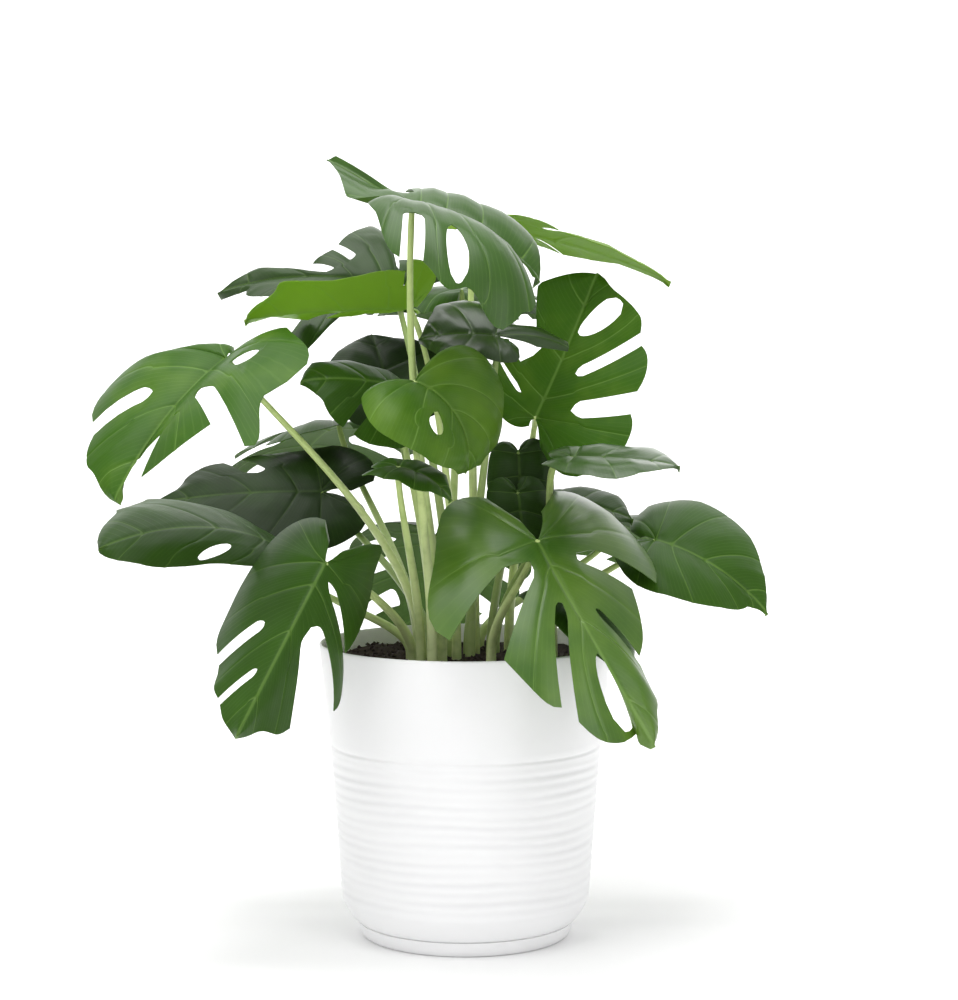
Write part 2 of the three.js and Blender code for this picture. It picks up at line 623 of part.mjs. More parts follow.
// Seats the stalk's end under the blade: it starts below and moves up until only the gap is left.
function stalkUnder(leaf, blade) {
  const { z } = leafAxes(leaf);
  const end = new THREE.Vector3(...leaf.at).addScaledVector(z, -STALK_START);
  for (let round = 0; round < 3; round += 1) {
    const rim = stalkTo(leaf, end).points.slice(-STALK_SIDES);
    const between = rim.map((p, i) => p.clone().add(rim[(i + 1) % STALK_SIDES]).multiplyScalar(0.5));
    const rooms = [end, ...rim, ...between].map((p) => roomAlong(p, z, blade));
    end.addScaledVector(z, Math.min(...rooms) - SEAT);
  }
  return stalkTo(leaf, end);
}

function lathe(profile, steps = ROUND_STEPS) {
  const geometry = new THREE.LatheGeometry(profile.map(([r, z]) => new THREE.Vector2(r, z)), steps);
  return geometry.rotateX(Math.PI / 2);
}

// The pot's outer radius at a height: straight taper in the upper band, ripples below it, and a
// rounded turn in to the base.
function potRadius(z) {
  if (z >= BAND_BOTTOM) {
    return BAND_RADIUS + ((RIM_RADIUS - BAND_RADIUS) * (z - BAND_BOTTOM)) / (POT_TOP - BAND_BOTTOM);
  }
  return FOOT_RADIUS + ((BAND_RADIUS - FOOT_RADIUS) * (z - FOOT_HEIGHT)) / (BAND_BOTTOM - FOOT_HEIGHT);
}

// The pot's foot stands in the saucer, and its body steps out over the saucer's edge.
const FOOT_PROFILE = [
  [85, SAUCER_FLOOR + GAP], [87.5, SAUCER_HEIGHT], [94, SAUCER_HEIGHT + 1.3], [99, 18], [103.5, 24],
];

function potGeometry() {
  const outer = FOOT_PROFILE.map((p) => [...p]);
  const pitch = (BAND_BOTTOM - FOOT_HEIGHT) / (2 * RIPPLES);
  for (let i = 0; i < 2 * RIPPLES; i += 1) {
    const z = FOOT_HEIGHT + i * pitch;
    outer.push([potRadius(z) - (i % 2 ? 0 : RIPPLE_DEPTH), z]);
  }
  outer.push([potRadius(BAND_BOTTOM) - GROOVE_DEPTH, BAND_BOTTOM - 1]);
  outer.push([potRadius(BAND_BOTTOM), BAND_BOTTOM + 1.5]);
  outer.push([potRadius(POT_TOP) - 0.6, POT_TOP - 0.8]);
  outer.push([potRadius(POT_TOP) - 1.2, POT_TOP]);
  return lathe([[0, SAUCER_FLOOR + GAP], ...outer, ...INSIDE.toReversed(), [0, INSIDE[0][1]]]);
}

// The pot's inner wall from its floor to its rim, which the soil follows at the gap.
const INSIDE = [
  [82, SAUCER_FLOOR + GAP + FLOOR],
  [96, 24],
  [potRadius(BAND_BOTTOM) - WALL - GROOVE_DEPTH, BAND_BOTTOM],
  [potRadius(POT_TOP) - WALL, POT_TOP],
];

function saucerGeometry() {
  return lathe([
    [0, 0], [SAUCER_FOOT, 0], [SAUCER_FOOT + 3, 2], [SAUCER_RADIUS + 2, SAUCER_HEIGHT - 1.5],
    [SAUCER_RADIUS + 1, SAUCER_HEIGHT],
    [SAUCER_RADIUS - 0.2, SAUCER_HEIGHT], [SAUCER_FOOT + 1.5, SAUCER_FLOOR], [0, SAUCER_FLOOR],
  ]);
}

function toManifold(geometry) {
  const bare = new THREE.BufferGeometry();
  bare.setAttribute("position", geometry.getAttribute("position"));
  if (geometry.index) bare.setIndex(geometry.index);
  const merged = mergeVertices(bare, 1e-4);
  return new wasm.Manifold(new wasm.Mesh({
    numProp: 3,
    vertProperties: new Float32Array(merged.getAttribute("position").array),
    triVerts: new Uint32Array(merged.index.array),
  }));
}

function fromManifold(solid) {
  const mesh = solid.getMesh();
  const geometry = new THREE.BufferGeometry();
  geometry.setAttribute("position", new THREE.BufferAttribute(mesh.vertProperties, 3));
  geometry.setIndex(new THREE.BufferAttribute(mesh.triVerts, 1));
  return geometry;
}

// Soil fills the pot to below its rim. Its top is uneven, and each stalk stands in a hole of its own.
function soilGeometry() {
  const sides = INSIDE.slice(0, 3).map(([r, z]) => [r - GAP, Math.max(z, INSIDE[0][1] + GAP)]);
  const [band, rim] = INSIDE.slice(2);
  const wall = band[0] + ((rim[0] - band[0]) * (SOIL_TOP - band[1])) / (rim[1] - band[1]);
  const top = SOIL_SHARES.map((share) => [share * (wall - GAP), SOIL_TOP]).toReversed();
  const geometry = lathe([[0, sides[0][1]], ...sides, ...top]);
  const places = geometry.getAttribute("position");
  for (let i = 0; i < places.count; i += 1) {
    const [x, y, z] = [places.getX(i), places.getY(i), places.getZ(i)];
    if (Math.abs(z - SOIL_TOP) > 0.01 || Math.hypot(x, y) > 0.9 * wall) continue;
    const bump = Math.sin(0.07 * x + 1.2) * Math.cos(0.09 * y) + 0.6 * Math.sin(0.13 * x - 0.11 * y);
    places.setZ(i, z + SOIL_BUMP * bump);
  }
  let soil = toManifold(geometry);
  for (const { base } of LEAVES) {
    const hole = new THREE.CylinderGeometry(HOLE_RADIUS, HOLE_RADIUS, 2 * STALK_DEPTH, HOLE_SIDES);
    hole.rotateX(Math.PI / 2).translate(base[0], base[1], SOIL_TOP - GAP);
    soil = soil.subtract(toManifold(hole));
  }
  return fromManifold(soil);
}

const plant = new THREE.Group();

function addMesh(name, geometry, color, roughness) {
  const material = new THREE.MeshStandardMaterial({ color, roughness, metalness: 0 });
  const mesh = new THREE.Mesh(geometry, material);
  mesh.name = name;
  plant.add(mesh);
}

for (const leaf of LEAVES) {
  const blade = thicken(bladeSheet(leaf), BLADE);
  addMesh(`leaf_${leaf.name}_blade`, geometryOf(blade), COLOURS.blade, 0.35);
  addMesh(`leaf_${leaf.name}_stalk`, geometryOf(stalkUnder(leaf, blade)), COLOURS.stalk, 0.5);
}
addMesh("pot", potGeometry(), COLOURS.pot, 0.3);
addMesh("saucer", saucerGeometry(), COLOURS.saucer, 0.3);
addMesh("soil", soilGeometry(), COLOURS.soil, 0.95);

export default plant;
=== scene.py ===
import math

import bpy
import numpy as np
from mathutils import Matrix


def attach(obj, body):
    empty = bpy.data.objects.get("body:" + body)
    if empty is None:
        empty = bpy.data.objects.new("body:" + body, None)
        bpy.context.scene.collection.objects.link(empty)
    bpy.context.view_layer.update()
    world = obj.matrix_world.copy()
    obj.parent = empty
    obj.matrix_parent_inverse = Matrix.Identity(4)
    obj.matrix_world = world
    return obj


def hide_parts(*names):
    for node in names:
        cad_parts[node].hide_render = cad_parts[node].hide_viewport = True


bl_info = {
    "name": "Potted swiss cheese plant",
    "version": (1, 0, 0),
    "blender": (4, 5, 0),
    "location": "3D View > Sidebar > Plant",
    "description": "Builds the looks of a potted swiss cheese plant round its solids",
    "category": "Add Mesh",
}

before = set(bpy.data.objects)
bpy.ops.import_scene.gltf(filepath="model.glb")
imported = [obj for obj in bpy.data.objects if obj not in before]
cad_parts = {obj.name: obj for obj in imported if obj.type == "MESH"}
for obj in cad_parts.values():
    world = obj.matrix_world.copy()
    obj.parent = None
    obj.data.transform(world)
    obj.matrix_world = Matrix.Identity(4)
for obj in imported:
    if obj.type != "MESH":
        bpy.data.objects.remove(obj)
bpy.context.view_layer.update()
MM = 0.001

# Pot, saucer and soil, in millimetres
GAP = 0.3
RIM_RADIUS = 127
BAND_RADIUS = 117.5
FOOT_RADIUS = 107
POT_TOP = 255
BAND_BOTTOM = 168
FOOT_HEIGHT = 30
WALL = 2.5
FLOOR = 4
SAUCER_RADIUS = 92
SAUCER_FOOT = 88
SAUCER_HEIGHT = 13
SAUCER_FLOOR = 3
SOIL_TOP = 240
SOIL_BUMP = 2.5
STALK_DEPTH = 16
CHANNEL_DEPTH = 0.16

# Steps of the fine pieces
POT_SIDES = 168
SAUCER_SIDES = 144
SOIL_SIDES = 120
SOIL_RINGS = 40
CRUMBS = 900
STALK_POINTS = 34
STALK_SIDES = 16
WEB_ROWS = 9
TIP_ROWS = 13

# What shapes every blade: shares of its length or of a lobe, degrees, and millimetres
VEIN_BOW = 0.3
FAN_SHARE = 0.3
ROOT_POWER = 1.6
LOBE_ROUNDING = 0.08
CORNER = 0.12
CLEFT_TURN = 7
QUILT_UP = 1.6
QUILT_DOWN = 1.4
VEIN_WIDTH = 1.5
RIB_WIDTH = 2.2
JOINED = [0, 0, 0, 0, 1, 0, 0]
FINE_VEINS = 75.4

# Floor, light and camera, in metres and degrees; a light's last number is its share of the key power
FLOOR_FRONT = -4.0
FLOOR_HALF = 6.0
COVE = 1.6
BACKDROP_TOP = 5.0
PLANT_MIDDLE = (0.0, 0.0, 0.40)
LIGHTS = [
    ("top_soft_light", (-0.25, -0.35, 2.1), PLANT_MIDDLE, 1.5, 1.5, 1),
    ("left_soft_light", (-1.6, -1.7, 1.2), PLANT_MIDDLE, 1.2, 1.8, 0.42),
    ("right_soft_light", (1.6, -1.6, 1.1), PLANT_MIDDLE, 1.2, 1.8, 0.34),
    ("backdrop_light", (0.0, 1.3, 2.6), (0.0, 3.2, 0.9), 4.0, 0.8, 3),
]
CAMERA_PLACE = (0.0116, -2.1, 0.530)
CAMERA_PITCH = 4.14
LENS = 91.65


def back_lobes(*reaches):
    """The rows of lobes of a leaf at the back, by the reaches of their corners. Its halves are the
    same but for the depth of one slit."""
    sides = {}
    for side, share in (("right", 0.35), ("left", 0.4)):
        sides[side] = [
            [near, reaches[2 * i], far, reaches[2 * i + 1], *whole]
            for i, (near, far, *whole) in enumerate((
                (164, 134), (123, 95, share), (87, 62, 0.35), (54, 32, 0.5), (26, 4)
            ))
        ]
    return sides


# Each leaf, in millimetres and degrees. at is where its stalk meets it, heading and rise the direction
# of its midrib there, and turn its turn about the midrib. Heading 0 faces the front, 90 the right.
# bend is how far the midrib bends from stalk to tip, fold and curl how far the halves fold and curl
# (fold_left where the left half differs). droop lowers the margin, bow bends the midrib sideways, and
# strip is where a hole ends on its way to the margin. base is where the stalk leaves the soil, knee
# where it bends toward the blade, seen from the junction, and out how long it runs straight up before.
# tone is how old the leaf is, 1 the youngest, and is also painted light and shade: a leaf in shade has
# a low tone and a well lit one a higher one. shine is the weight of its gloss coat. right and left, or
# both, are rows of lobes from the stalk to the tip: the direction from the midrib and the reach of a
# lobe's near corner, the same of its far corner, and the share of the blade that stays whole up to the
# slit after it. 1, or none given, is no slit, and a share below nought is a hole. A lift and a slit
# half width, as a share of a lobe, may follow; slit is that width where a row gives none. USUAL holds
# what a leaf has where it names nothing else.
USUAL = dict(turn=0, slit=0.12, tone=0.3, shine=0.08, strip=0.84, bow=0, out=0.4)
LEAVES = [
    dict(name="front_right", at=[60, -98, 352], heading=45, rise=-40, turn=15, length=199, bend=27,
         fold=2, curl=24, droop=8, bow=0.05, strip=0.94, slit=0.2, tone=0.56, shine=1.0,
         base=[22, -26], knee=[-12, 25, -45],
         right=[[163, 66, 137, 93], [115, 90, 61, 122, 0.18, 0, 0.17],
                [42, 122, 21, 162, 0.16, 0, 0.1], [16, 177, 5, 187, -0.05, 0, 0.22], [0, 183, 2, 193]],
         left=[[138, 74, 108, 104], [100, 108, 60, 131, 0.31, 0, 0.12],
               [47, 102, 21, 132, 0.42, 0, 0.05], [15, 147, 11, 167], [8, 174, 2, 194]]),
    dict(name="front_left", at=[-112, -142, 338], heading=-32, rise=-46, turn=-39, length=165, bend=12,
         fold=-38, curl=25, droop=6, slit=0.2, base=[-45, -28], knee=[20, 40, -16],
         right=[[157, 56, 113, 88], [101, 89, 76, 95], [68, 98, 43, 117, 0.44, 0, 0.05],
                [27, 126, 19, 142, 0.32, 0, 0.04], [11, 152, 2, 162]],
         left=[[150, 50, 140, 78], [124, 66, 61, 84, 0.14, 0, 0.14], [58, 98, 50, 133, 0.21, 0, 0.1],
               [19, 147, 10, 148], [7, 150, 2, 161]]),
    dict(name="right_upright", at=[60, 5, 449], heading=127, rise=58, turn=35, length=139, bend=-16,
         fold=15, curl=0, droop=5, strip=0.94, slit=0.16, tone=0.5, shine=0.0, base=[38, 50],
         knee=[2, 66, -12],
         right=[[138, 48, 123, 78], [99, 95, 71, 95, 0.34, 0, 0.17], [61, 100, 38, 118, 0.27, 0, 0.09],
                [31, 125, 20, 129, -0.12, 0, 0.16], [10, 131, 3, 137]],
         left=[[140, 14, 100, 37], [88, 49, 55, 70, 0.34, 0, 0.09], [52, 79, 41, 80, 0.6, 0, 0.19],
               [24, 75, 22, 119], [18, 125, 3, 138]]),
    dict(name="top", at=[-43, -100, 625], heading=73, rise=-7, turn=14, length=123, bend=47, fold=39,
         fold_left=29, curl=60, droop=5, strip=0.94, slit=0.2, tone=0.36, shine=0.6, base=[-20, -34],
         knee=[-10, 6, -180], out=0.25,
         right=[[119, 39, 115, 50], [100, 59, 74, 98, 0.6, 0, 0.12], [62, 104, 50, 128, -0.57, 0, 0.2],
                [46, 128, 34, 163], [28, 150, 21, 148, 0.3, 0, 0.17], [5, 119, 3, 122]],
         left=[[177, 49, 152, 75, 1, 12], [143, 94, 139, 109, 0.3, 54, 0.1], [114, 73, 102, 77, 1, 6],
               [94, 70, 78, 63, 1, 3], [63, 63, 53, 71, 1, 0], [46, 92, 6, 116]]),
    dict(name="upper_right", at=[7, 60, 617], heading=86, rise=-8, turn=-6, length=181, bend=16,
         fold=5, curl=1, droop=4, slit=0.14, tone=0.9, base=[8, 10], knee=[-6, -2, -60],
         right=[[165, 28, 129, 48], [103, 52, 63, 70], [61, 84, 41, 104, 0.6, 0, 0.1],
                [37, 111, 26, 135], [21, 140, 4, 174]],
         left=[[165, 28, 129, 48], [102, 54, 62, 71], [60, 84, 43, 104, 0.29, 0, 0.04],
               [40, 111, 25, 137], [21, 145, 3, 176]]),
    dict(name="upper_left", at=[-47, -15, 543], heading=-71, rise=1, turn=24, length=147, bend=10,
         fold=24, curl=6, droop=3, tone=1.0, shine=0.6, base=[-8, -12], knee=[22, 4, -46],
         right=[[151, 12, 109, 16], [97, 26, 67, 54], [63, 59, 56, 89, 0.6, 0, 0.07],
                [51, 112, 31, 118], [24, 122, 3, 143]],
         left=[[128, 12, 108, 43], [101, 51, 75, 65, 0.5, 0, 0.07], [71, 51, 37, 64],
               [25, 81, 18, 128], [15, 128, 3, 146]]),
    dict(name="upper_back_left", at=[-64, 110, 564], heading=-75, rise=14, turn=-41, length=161,
         bend=42, fold=22, curl=35, droop=5, slit=0.14, tone=0.12, shine=0.35, base=[-12, 14],
         knee=[12, -4, -50],
         right=[[150, 50, 94, 37, 0.49, 0, 0.13], [85, 59, 76, 83], [68, 78, 40, 69, 0.7, 0, 0.08],
                [29, 69, 14, 82, 0.3, 0, 0.2], [9, 92, 8, 122], [7, 128, 4, 142]],
         left=[[165, 18, 129, 21], [115, 20, 70, 31], [59, 43, 51, 84],
               [51, 106, 48, 132, 0.33, 0, 0.04], [19, 109, 10, 134], [6, 132, 2, 156]]),
    dict(name="grey", at=[27, -38, 520], heading=-84, rise=8, turn=-36, length=67, bend=25, fold=15,
         curl=20, droop=3, tone=0.1, shine=0.8, base=[4, -6], knee=[0, 6, -50],
         right=[[171, 66, 161, 68], [134, 26, 84, 42], [61, 58, 37, 65], [30, 62, 5, 65]],
         left=[[152, 20, 132, 28], [118, 36, 72, 38], [62, 45, 34, 58], [28, 58, 4, 65]]),
    dict(name="lens", at=[88, -97, 421], heading=76, rise=2, turn=11, length=90, bend=12, fold=8,
         curl=18, droop=3, tone=0.25, shine=0.9, base=[75, -14], knee=[-26, 84, 0], out=0.8,
         right=[[164, 17, 124, 33], [108, 36, 67, 51], [58, 57, 33, 71], [27, 74, 4, 87]],
         left=[[161, 20, 120, 36], [108, 39, 73, 53], [63, 58, 36, 71], [29, 74, 4, 87]]),
    dict(name="centre", at=[-40, -130, 484], heading=70, rise=-18, turn=31, length=92, bend=110,
         fold=23, curl=27, droop=4, strip=0.5, slit=0.2, tone=0.56, base=[-28, -48],
         knee=[-6, 20, -45],
         right=[[160, 18, 128, 44], [114, 53, 82, 73], [75, 75, 53, 77, -0.35, 0, 0.2],
                [49, 78, 28, 77], [20, 81, 3, 89]],
         left=[[91, 15, 82, 62], [76, 74, 51, 86], [44, 86, 30, 98], [26, 101, 14, 97],
               [10, 93, 3, 91]]),
    dict(name="centre_left", at=[-62, -35, 479], heading=-56, rise=12, turn=-42, length=83, bend=24,
         fold=-10, curl=22, droop=3, slit=0.14, tone=0.36, base=[-28, -18], knee=[8, 12, -40],
         right=[[161, 23, 118, 41], [105, 44, 69, 58], [59, 63, 35, 72], [28, 72, 4, 80]],
         left=[[153, 36, 88, 59], [77, 60, 47, 66, 0.5], [39, 69, 20, 72], [17, 72, 3, 80]]),
    dict(name="far_left", at=[-197, -85, 502], heading=-40, rise=-28, turn=-2, length=165, bend=28,
         fold=27, curl=40, droop=5, strip=0.3, slit=0.16, tone=0.5, shine=0.1, base=[-38, -8],
         knee=[35, 10, -50],
         right=[[150, 26, 104, 30], [84, 42, 71, 80], [68, 95, 38, 126, 0.4, 0, 0.1],
                [27, 132, 14, 150], [12, 151, 3, 164]],
         left=[[164, 34, 148, 52], [122, 60, 88, 93, -0.33, 0, 0.12],
               [60, 100, 45, 156, 0.27, 0, 0.12], [36, 120, 4, 152, 0.7, 0, 0.25], [-2, 152, 0, 162]]),
    dict(name="mid_left", at=[-131, 100, 379], heading=-86, rise=1, turn=-35, length=154, bend=12,
         fold=4, curl=18, droop=5, slit=0.14, tone=0.02, shine=0.0, base=[-30, 10], knee=[25, 0, -35],
         right=[[156, 52, 102, 80], [94, 78, 69, 78], [62, 80, 38, 98, 0.5], [31, 108, 16, 128],
                [13, 130, 2, 149]],
         left=[[164, 34, 127, 59], [110, 63, 72, 75], [64, 79, 40, 100], [33, 109, 17, 128],
               [14, 130, 2, 149]]),
    dict(name="low_left", at=[-156, -12, 337], heading=-49, rise=29, turn=-27, length=168, bend=58,
         fold=-3, curl=17, droop=4, slit=0.13, tone=0.24, shine=0.0, base=[-48, -6],
         knee=[14, 12, -50],
         right=[[165, 28, 125, 51], [103, 65, 62, 88], [59, 100, 46, 135], [42, 137, 31, 155],
                [28, 152, 5, 166]],
         left=[[160, 26, 129, 33], [106, 34, 66, 44], [46, 68, 26, 101, -0.5, 0, 0.12],
               [22, 119, 15, 147], [12, 153, 3, 167]]),
    dict(name="right_heart", at=[165, 12, 343], heading=61, rise=-11, turn=24, length=118, bend=45,
         fold=10, curl=19, droop=3, tone=0.36, base=[44, 4], knee=[-40, 4, -30],
         right=[[157, 25, 103, 50], [92, 57, 61, 76], [52, 80, 29, 93], [22, 97, 9, 102],
                [8, 102, 1, 114]],
         left=[[161, 31, 127, 60], [120, 68, 93, 81], [82, 82, 50, 88], [39, 91, 18, 98],
               [15, 100, 2, 114]]),
    dict(name="shade_top", at=[-70, 110, 470], heading=-160, rise=50, turn=-10, length=80, bend=20,
         fold=10, curl=15, droop=3, tone=0.02, base=[-24, 28], knee=[10, -12, -50],
         right=[[163, 30, 126, 50], [114, 52, 76, 60], [64, 64, 36, 69], [29, 69, 4, 77]],
         left=[[163, 30, 126, 49], [114, 50, 76, 56], [64, 60, 36, 66], [29, 68, 4, 78]]),
    dict(name="shade_right", at=[79, 45, 375], heading=72, rise=-2, turn=18, length=72, bend=22,
         fold=6, curl=12, droop=3, tone=0.14, base=[26, 34], knee=[-10, 2, -40],
         both=[[158, 13, 126, 22], [112, 28, 76, 38], [64, 44, 36, 56], [29, 60, 4, 69]]),
    dict(name="shade_mid", at=[46, 25, 419], heading=8, rise=-70, length=76, bend=18, fold=8, curl=15,
         droop=3, tone=0.1, base=[2, 34], knee=[-4, 26, -26],
         right=[[150, 10, 122, 17], [108, 20, 76, 27], [60, 32, 34, 47], [27, 50, 4, 72]],
         left=[[150, 11, 122, 20], [108, 23, 76, 29], [60, 34, 34, 50], [27, 53, 4, 75]]),
    dict(name="shade_low", at=[45, -6, 386], heading=20, rise=-66, length=58, bend=18, fold=6, curl=18,
         droop=2, tone=0.12, base=[22, 14], knee=[-2, 16, -22],
         both=[[158, 13, 124, 22], [110, 25, 76, 30], [62, 34, 36, 45], [29, 47, 4, 56]]),
    dict(name="low_right", at=[79, -74, 308], heading=65, rise=-14, turn=3, length=95, bend=70, fold=6,
         curl=25, droop=3, base=[44, -14], knee=[-14, 14, -16],
         both=[[163, 24, 126, 40], [114, 42, 76, 55], [64, 61, 36, 76], [29, 78, 4, 92]]),
    dict(name="small", at=[-54, -132, 415], heading=75, rise=-6, turn=12, length=53, bend=50, fold=6,
         curl=15, droop=2, tone=0.32, base=[-38, -36], knee=[0, 12, -40],
         right=[[165, 24, 133, 32], [118, 28, 75, 28], [64, 32, 36, 42], [29, 43, 4, 51]],
         left=[[165, 26, 133, 34], [118, 29, 75, 28], [64, 32, 36, 42], [29, 43, 4, 51]]),
    dict(name="back_high", at=[-4, 154, 562], heading=178, rise=8, length=150, bend=45, fold=5,
         curl=25, droop=6, slit=0.16, tone=0.25, base=[-14, 62], knee=[0, 10, -60],
         **back_lobes(43, 73, 76, 85, 89, 104, 110, 123, 126, 145)),
    dict(name="back_left", at=[-120, 188, 436], heading=-150, rise=-12, length=160, bend=40, fold=5,
         curl=25, droop=6, slit=0.16, tone=0.2, base=[-42, 34], knee=[8, -6, -50],
         **back_lobes(43, 73, 76, 87, 91, 108, 114, 130, 134, 155)),
    dict(name="back_right", at=[143, 144, 352], heading=157, rise=-8, length=150, bend=40, fold=5,
         curl=25, droop=6, slit=0.16, tone=0.2, base=[12, 60], knee=[-12, -10, -50],
         **back_lobes(41, 70, 73, 83, 86, 101, 107, 122, 125, 145)),
    dict(name="back_low", at=[-30, 168, 333], heading=-175, rise=-30, length=151, bend=35, fold=5,
         curl=25, droop=6, slit=0.16, tone=0.2, base=[-30, 62], knee=[0, -25, -35],
         **back_lobes(43, 73, 76, 86, 90, 105, 111, 124, 127, 146)),
]
LEAVES = [{**USUAL, "fold_left": leaf["fold"], **leaf} for leaf in LEAVES]


def number(name, description, default, low, high):
    """A number that the panel shows, with its limits."""
    return bpy.props.FloatProperty(
        name=name, description=description, default=default, min=low, max=high
    )


def colour(name, description, default):
    """A colour that the panel shows."""
    return bpy.props.FloatVectorProperty(
        name=name, description=description, subtype="COLOR", size=3, default=default, min=0, max=1
    )


class PlantSettings(bpy.types.PropertyGroup):
    """Sizes and colours of the leaves and their stalks"""

    blade_thickness: number("Blade thickness", "Thickness of a leaf blade in millimetres", 0.8, 0.3, 2)
    vein_depth: number("Vein depth", "Depth of the groove over a main vein in millimetres", 0.9, 0, 3)
    stalk_base: number("Stalk base radius", "Radius of a stalk at the soil in millimetres", 4.6, 1, 10)
    stalk_top: number("Stalk top radius", "Radius of a stalk at its blade in millimetres", 2.3, 0.5, 6)
    # painted shade: the leaves of lowest tone, the oldest and those in shade, take this darkest green
    old_and_shaded: colour("Old leaf", "Colour of the darkest leaves", (0.014, 0.030, 0.007))
    green: colour("Grown leaf", "Colour of most leaves", (0.042, 0.122, 0.007))
    fresh: colour("Fresh leaf", "Colour of the youngest leaves", (0.32, 0.51, 0.06))
    underside: colour("Underside", "Colour of the leaves' underside", (0.085, 0.17, 0.030))
    vein: colour("Vein", "Colour of the main veins", (0.22, 0.38, 0.08))
    stalk: colour("Stalk", "Colour of the stalks", (0.60, 0.74, 0.27))


class PotSettings(bpy.types.PropertyGroup):
    """Sizes and colours of the pot, its saucer and the soil"""

    ripple_depth: number("Ripple depth", "Depth of the ripples round the pot in millimetres", 0.7, 0, 3)
    ripple_pitch: number("Ripple pitch", "From one ripple to the next in millimetres", 8.2, 2, 40)
    plastic: colour("Plastic", "Colour of the pot and saucer", (0.885, 0.885, 0.89))
    soil: colour("Soil", "Colour of the potting soil", (0.030, 0.018, 0.013))


class StageSettings(bpy.types.PropertyGroup):
    """Floor and light"""

    floor: colour("Floor", "Colour of the plain floor", (0.96, 0.96, 0.96))
    key_power: number("Key light", "Power of the large soft light overhead in watts", 29, 0, 500)
    world_strength: number("Surround", "Strength of the even white surround", 0.55, 0, 5)


# Shader maths


class Value:
    """A number or colour socket of a material; operators on it add Math nodes."""

    def __init__(self, graph, socket):
        self.graph = graph
        self.socket = socket

    def _math(self, operation, first, second=None, clamp=False):
        inputs = [first] if second is None else [first, second]
        return self.graph.node("ShaderNodeMath", {"operation": operation, "use_clamp": clamp}, inputs)

    def __add__(self, other):
        return self._math("ADD", self, other)

    def __radd__(self, other):
        return self._math("ADD", other, self)

    def __sub__(self, other):
        return self._math("SUBTRACT", self, other)

    def __rsub__(self, other):
        return self._math("SUBTRACT", other, self)

    def __mul__(self, other):
        return self._math("MULTIPLY", self, other)

    def __rmul__(self, other):
        return self._math("MULTIPLY", other, self)

    def sine(self):
        return self._math("SINE", self)

    def clamped(self):
        return self._math("ADD", self, 0.0, clamp=True)


class Graph:
    """The node tree of one material."""

    def __init__(self, name):
        self.material = bpy.data.materials.new(name)
        self.material.use_nodes = True
        self.tree = self.material.node_tree
        self.tree.nodes.clear()

    def node(self, kind, settings=None, inputs=(), output=0):
        """Adds a node: its settings first, then its sockets' values or links, by place or by name."""
        node = self.tree.nodes.new(kind)
        for key, value in (settings or {}).items():
            setattr(node, key, value)
        pairs = inputs.items() if isinstance(inputs, dict) else enumerate(inputs)
        for key, value in pairs:
            socket = node.inputs[key]
            if isinstance(value, Value):
                self.tree.links.new(value.socket, socket)
            elif value is not None:
                size = len(socket.default_value) if hasattr(socket.default_value, "__len__") else 0
                socket.default_value = (*value, 1) if size == 4 and len(value) == 3 else value
        return Value(self, node.outputs[output]) if node.outputs else None

    def attribute(self, name):
        """The number that the piece's mesh holds at each vertex under that name."""
        return self.node("ShaderNodeAttribute", {"attribute_name": name}, output="Fac")

    def mix(self, share, first, second):
        """A colour between two, by a share."""
        return self.node(
            "ShaderNodeMix", {"data_type": "RGBA"}, {0: share, 6: first, 7: second}, output=2
        )

    def between(self, value, low, high):
        """0 below low, 1 above high and a smooth step from one to the other."""
        return self.node(
            "ShaderNodeMapRange", {"interpolation_type": "SMOOTHSTEP"},
            {"Value": value, "From Min": low, "From Max": high, "To Min": 0.0, "To Max": 1.0},
        )

    def noise(self, scale, detail=3.0, rough=0.5):
        """Noise over the place on the piece, in its own metres."""
        place = self.node("ShaderNodeTexCoord", output="Object")
        return self.node(
            "ShaderNodeTexNoise", None,
            {"Vector": place, "Scale": scale, "Detail": detail, "Roughness": rough},
        )

    def bump(self, height, strength, distance):
        """The normal over a height, whose full swing is the distance in metres."""
        return self.node(
            "ShaderNodeBump", None, {"Height": height, "Strength": strength, "Distance": distance}
        )

    def finish(self, shader):
        """Ends the tree in a shader and gives the material."""
        self.node("ShaderNodeOutputMaterial", None, {"Surface": shader})
        return self.material


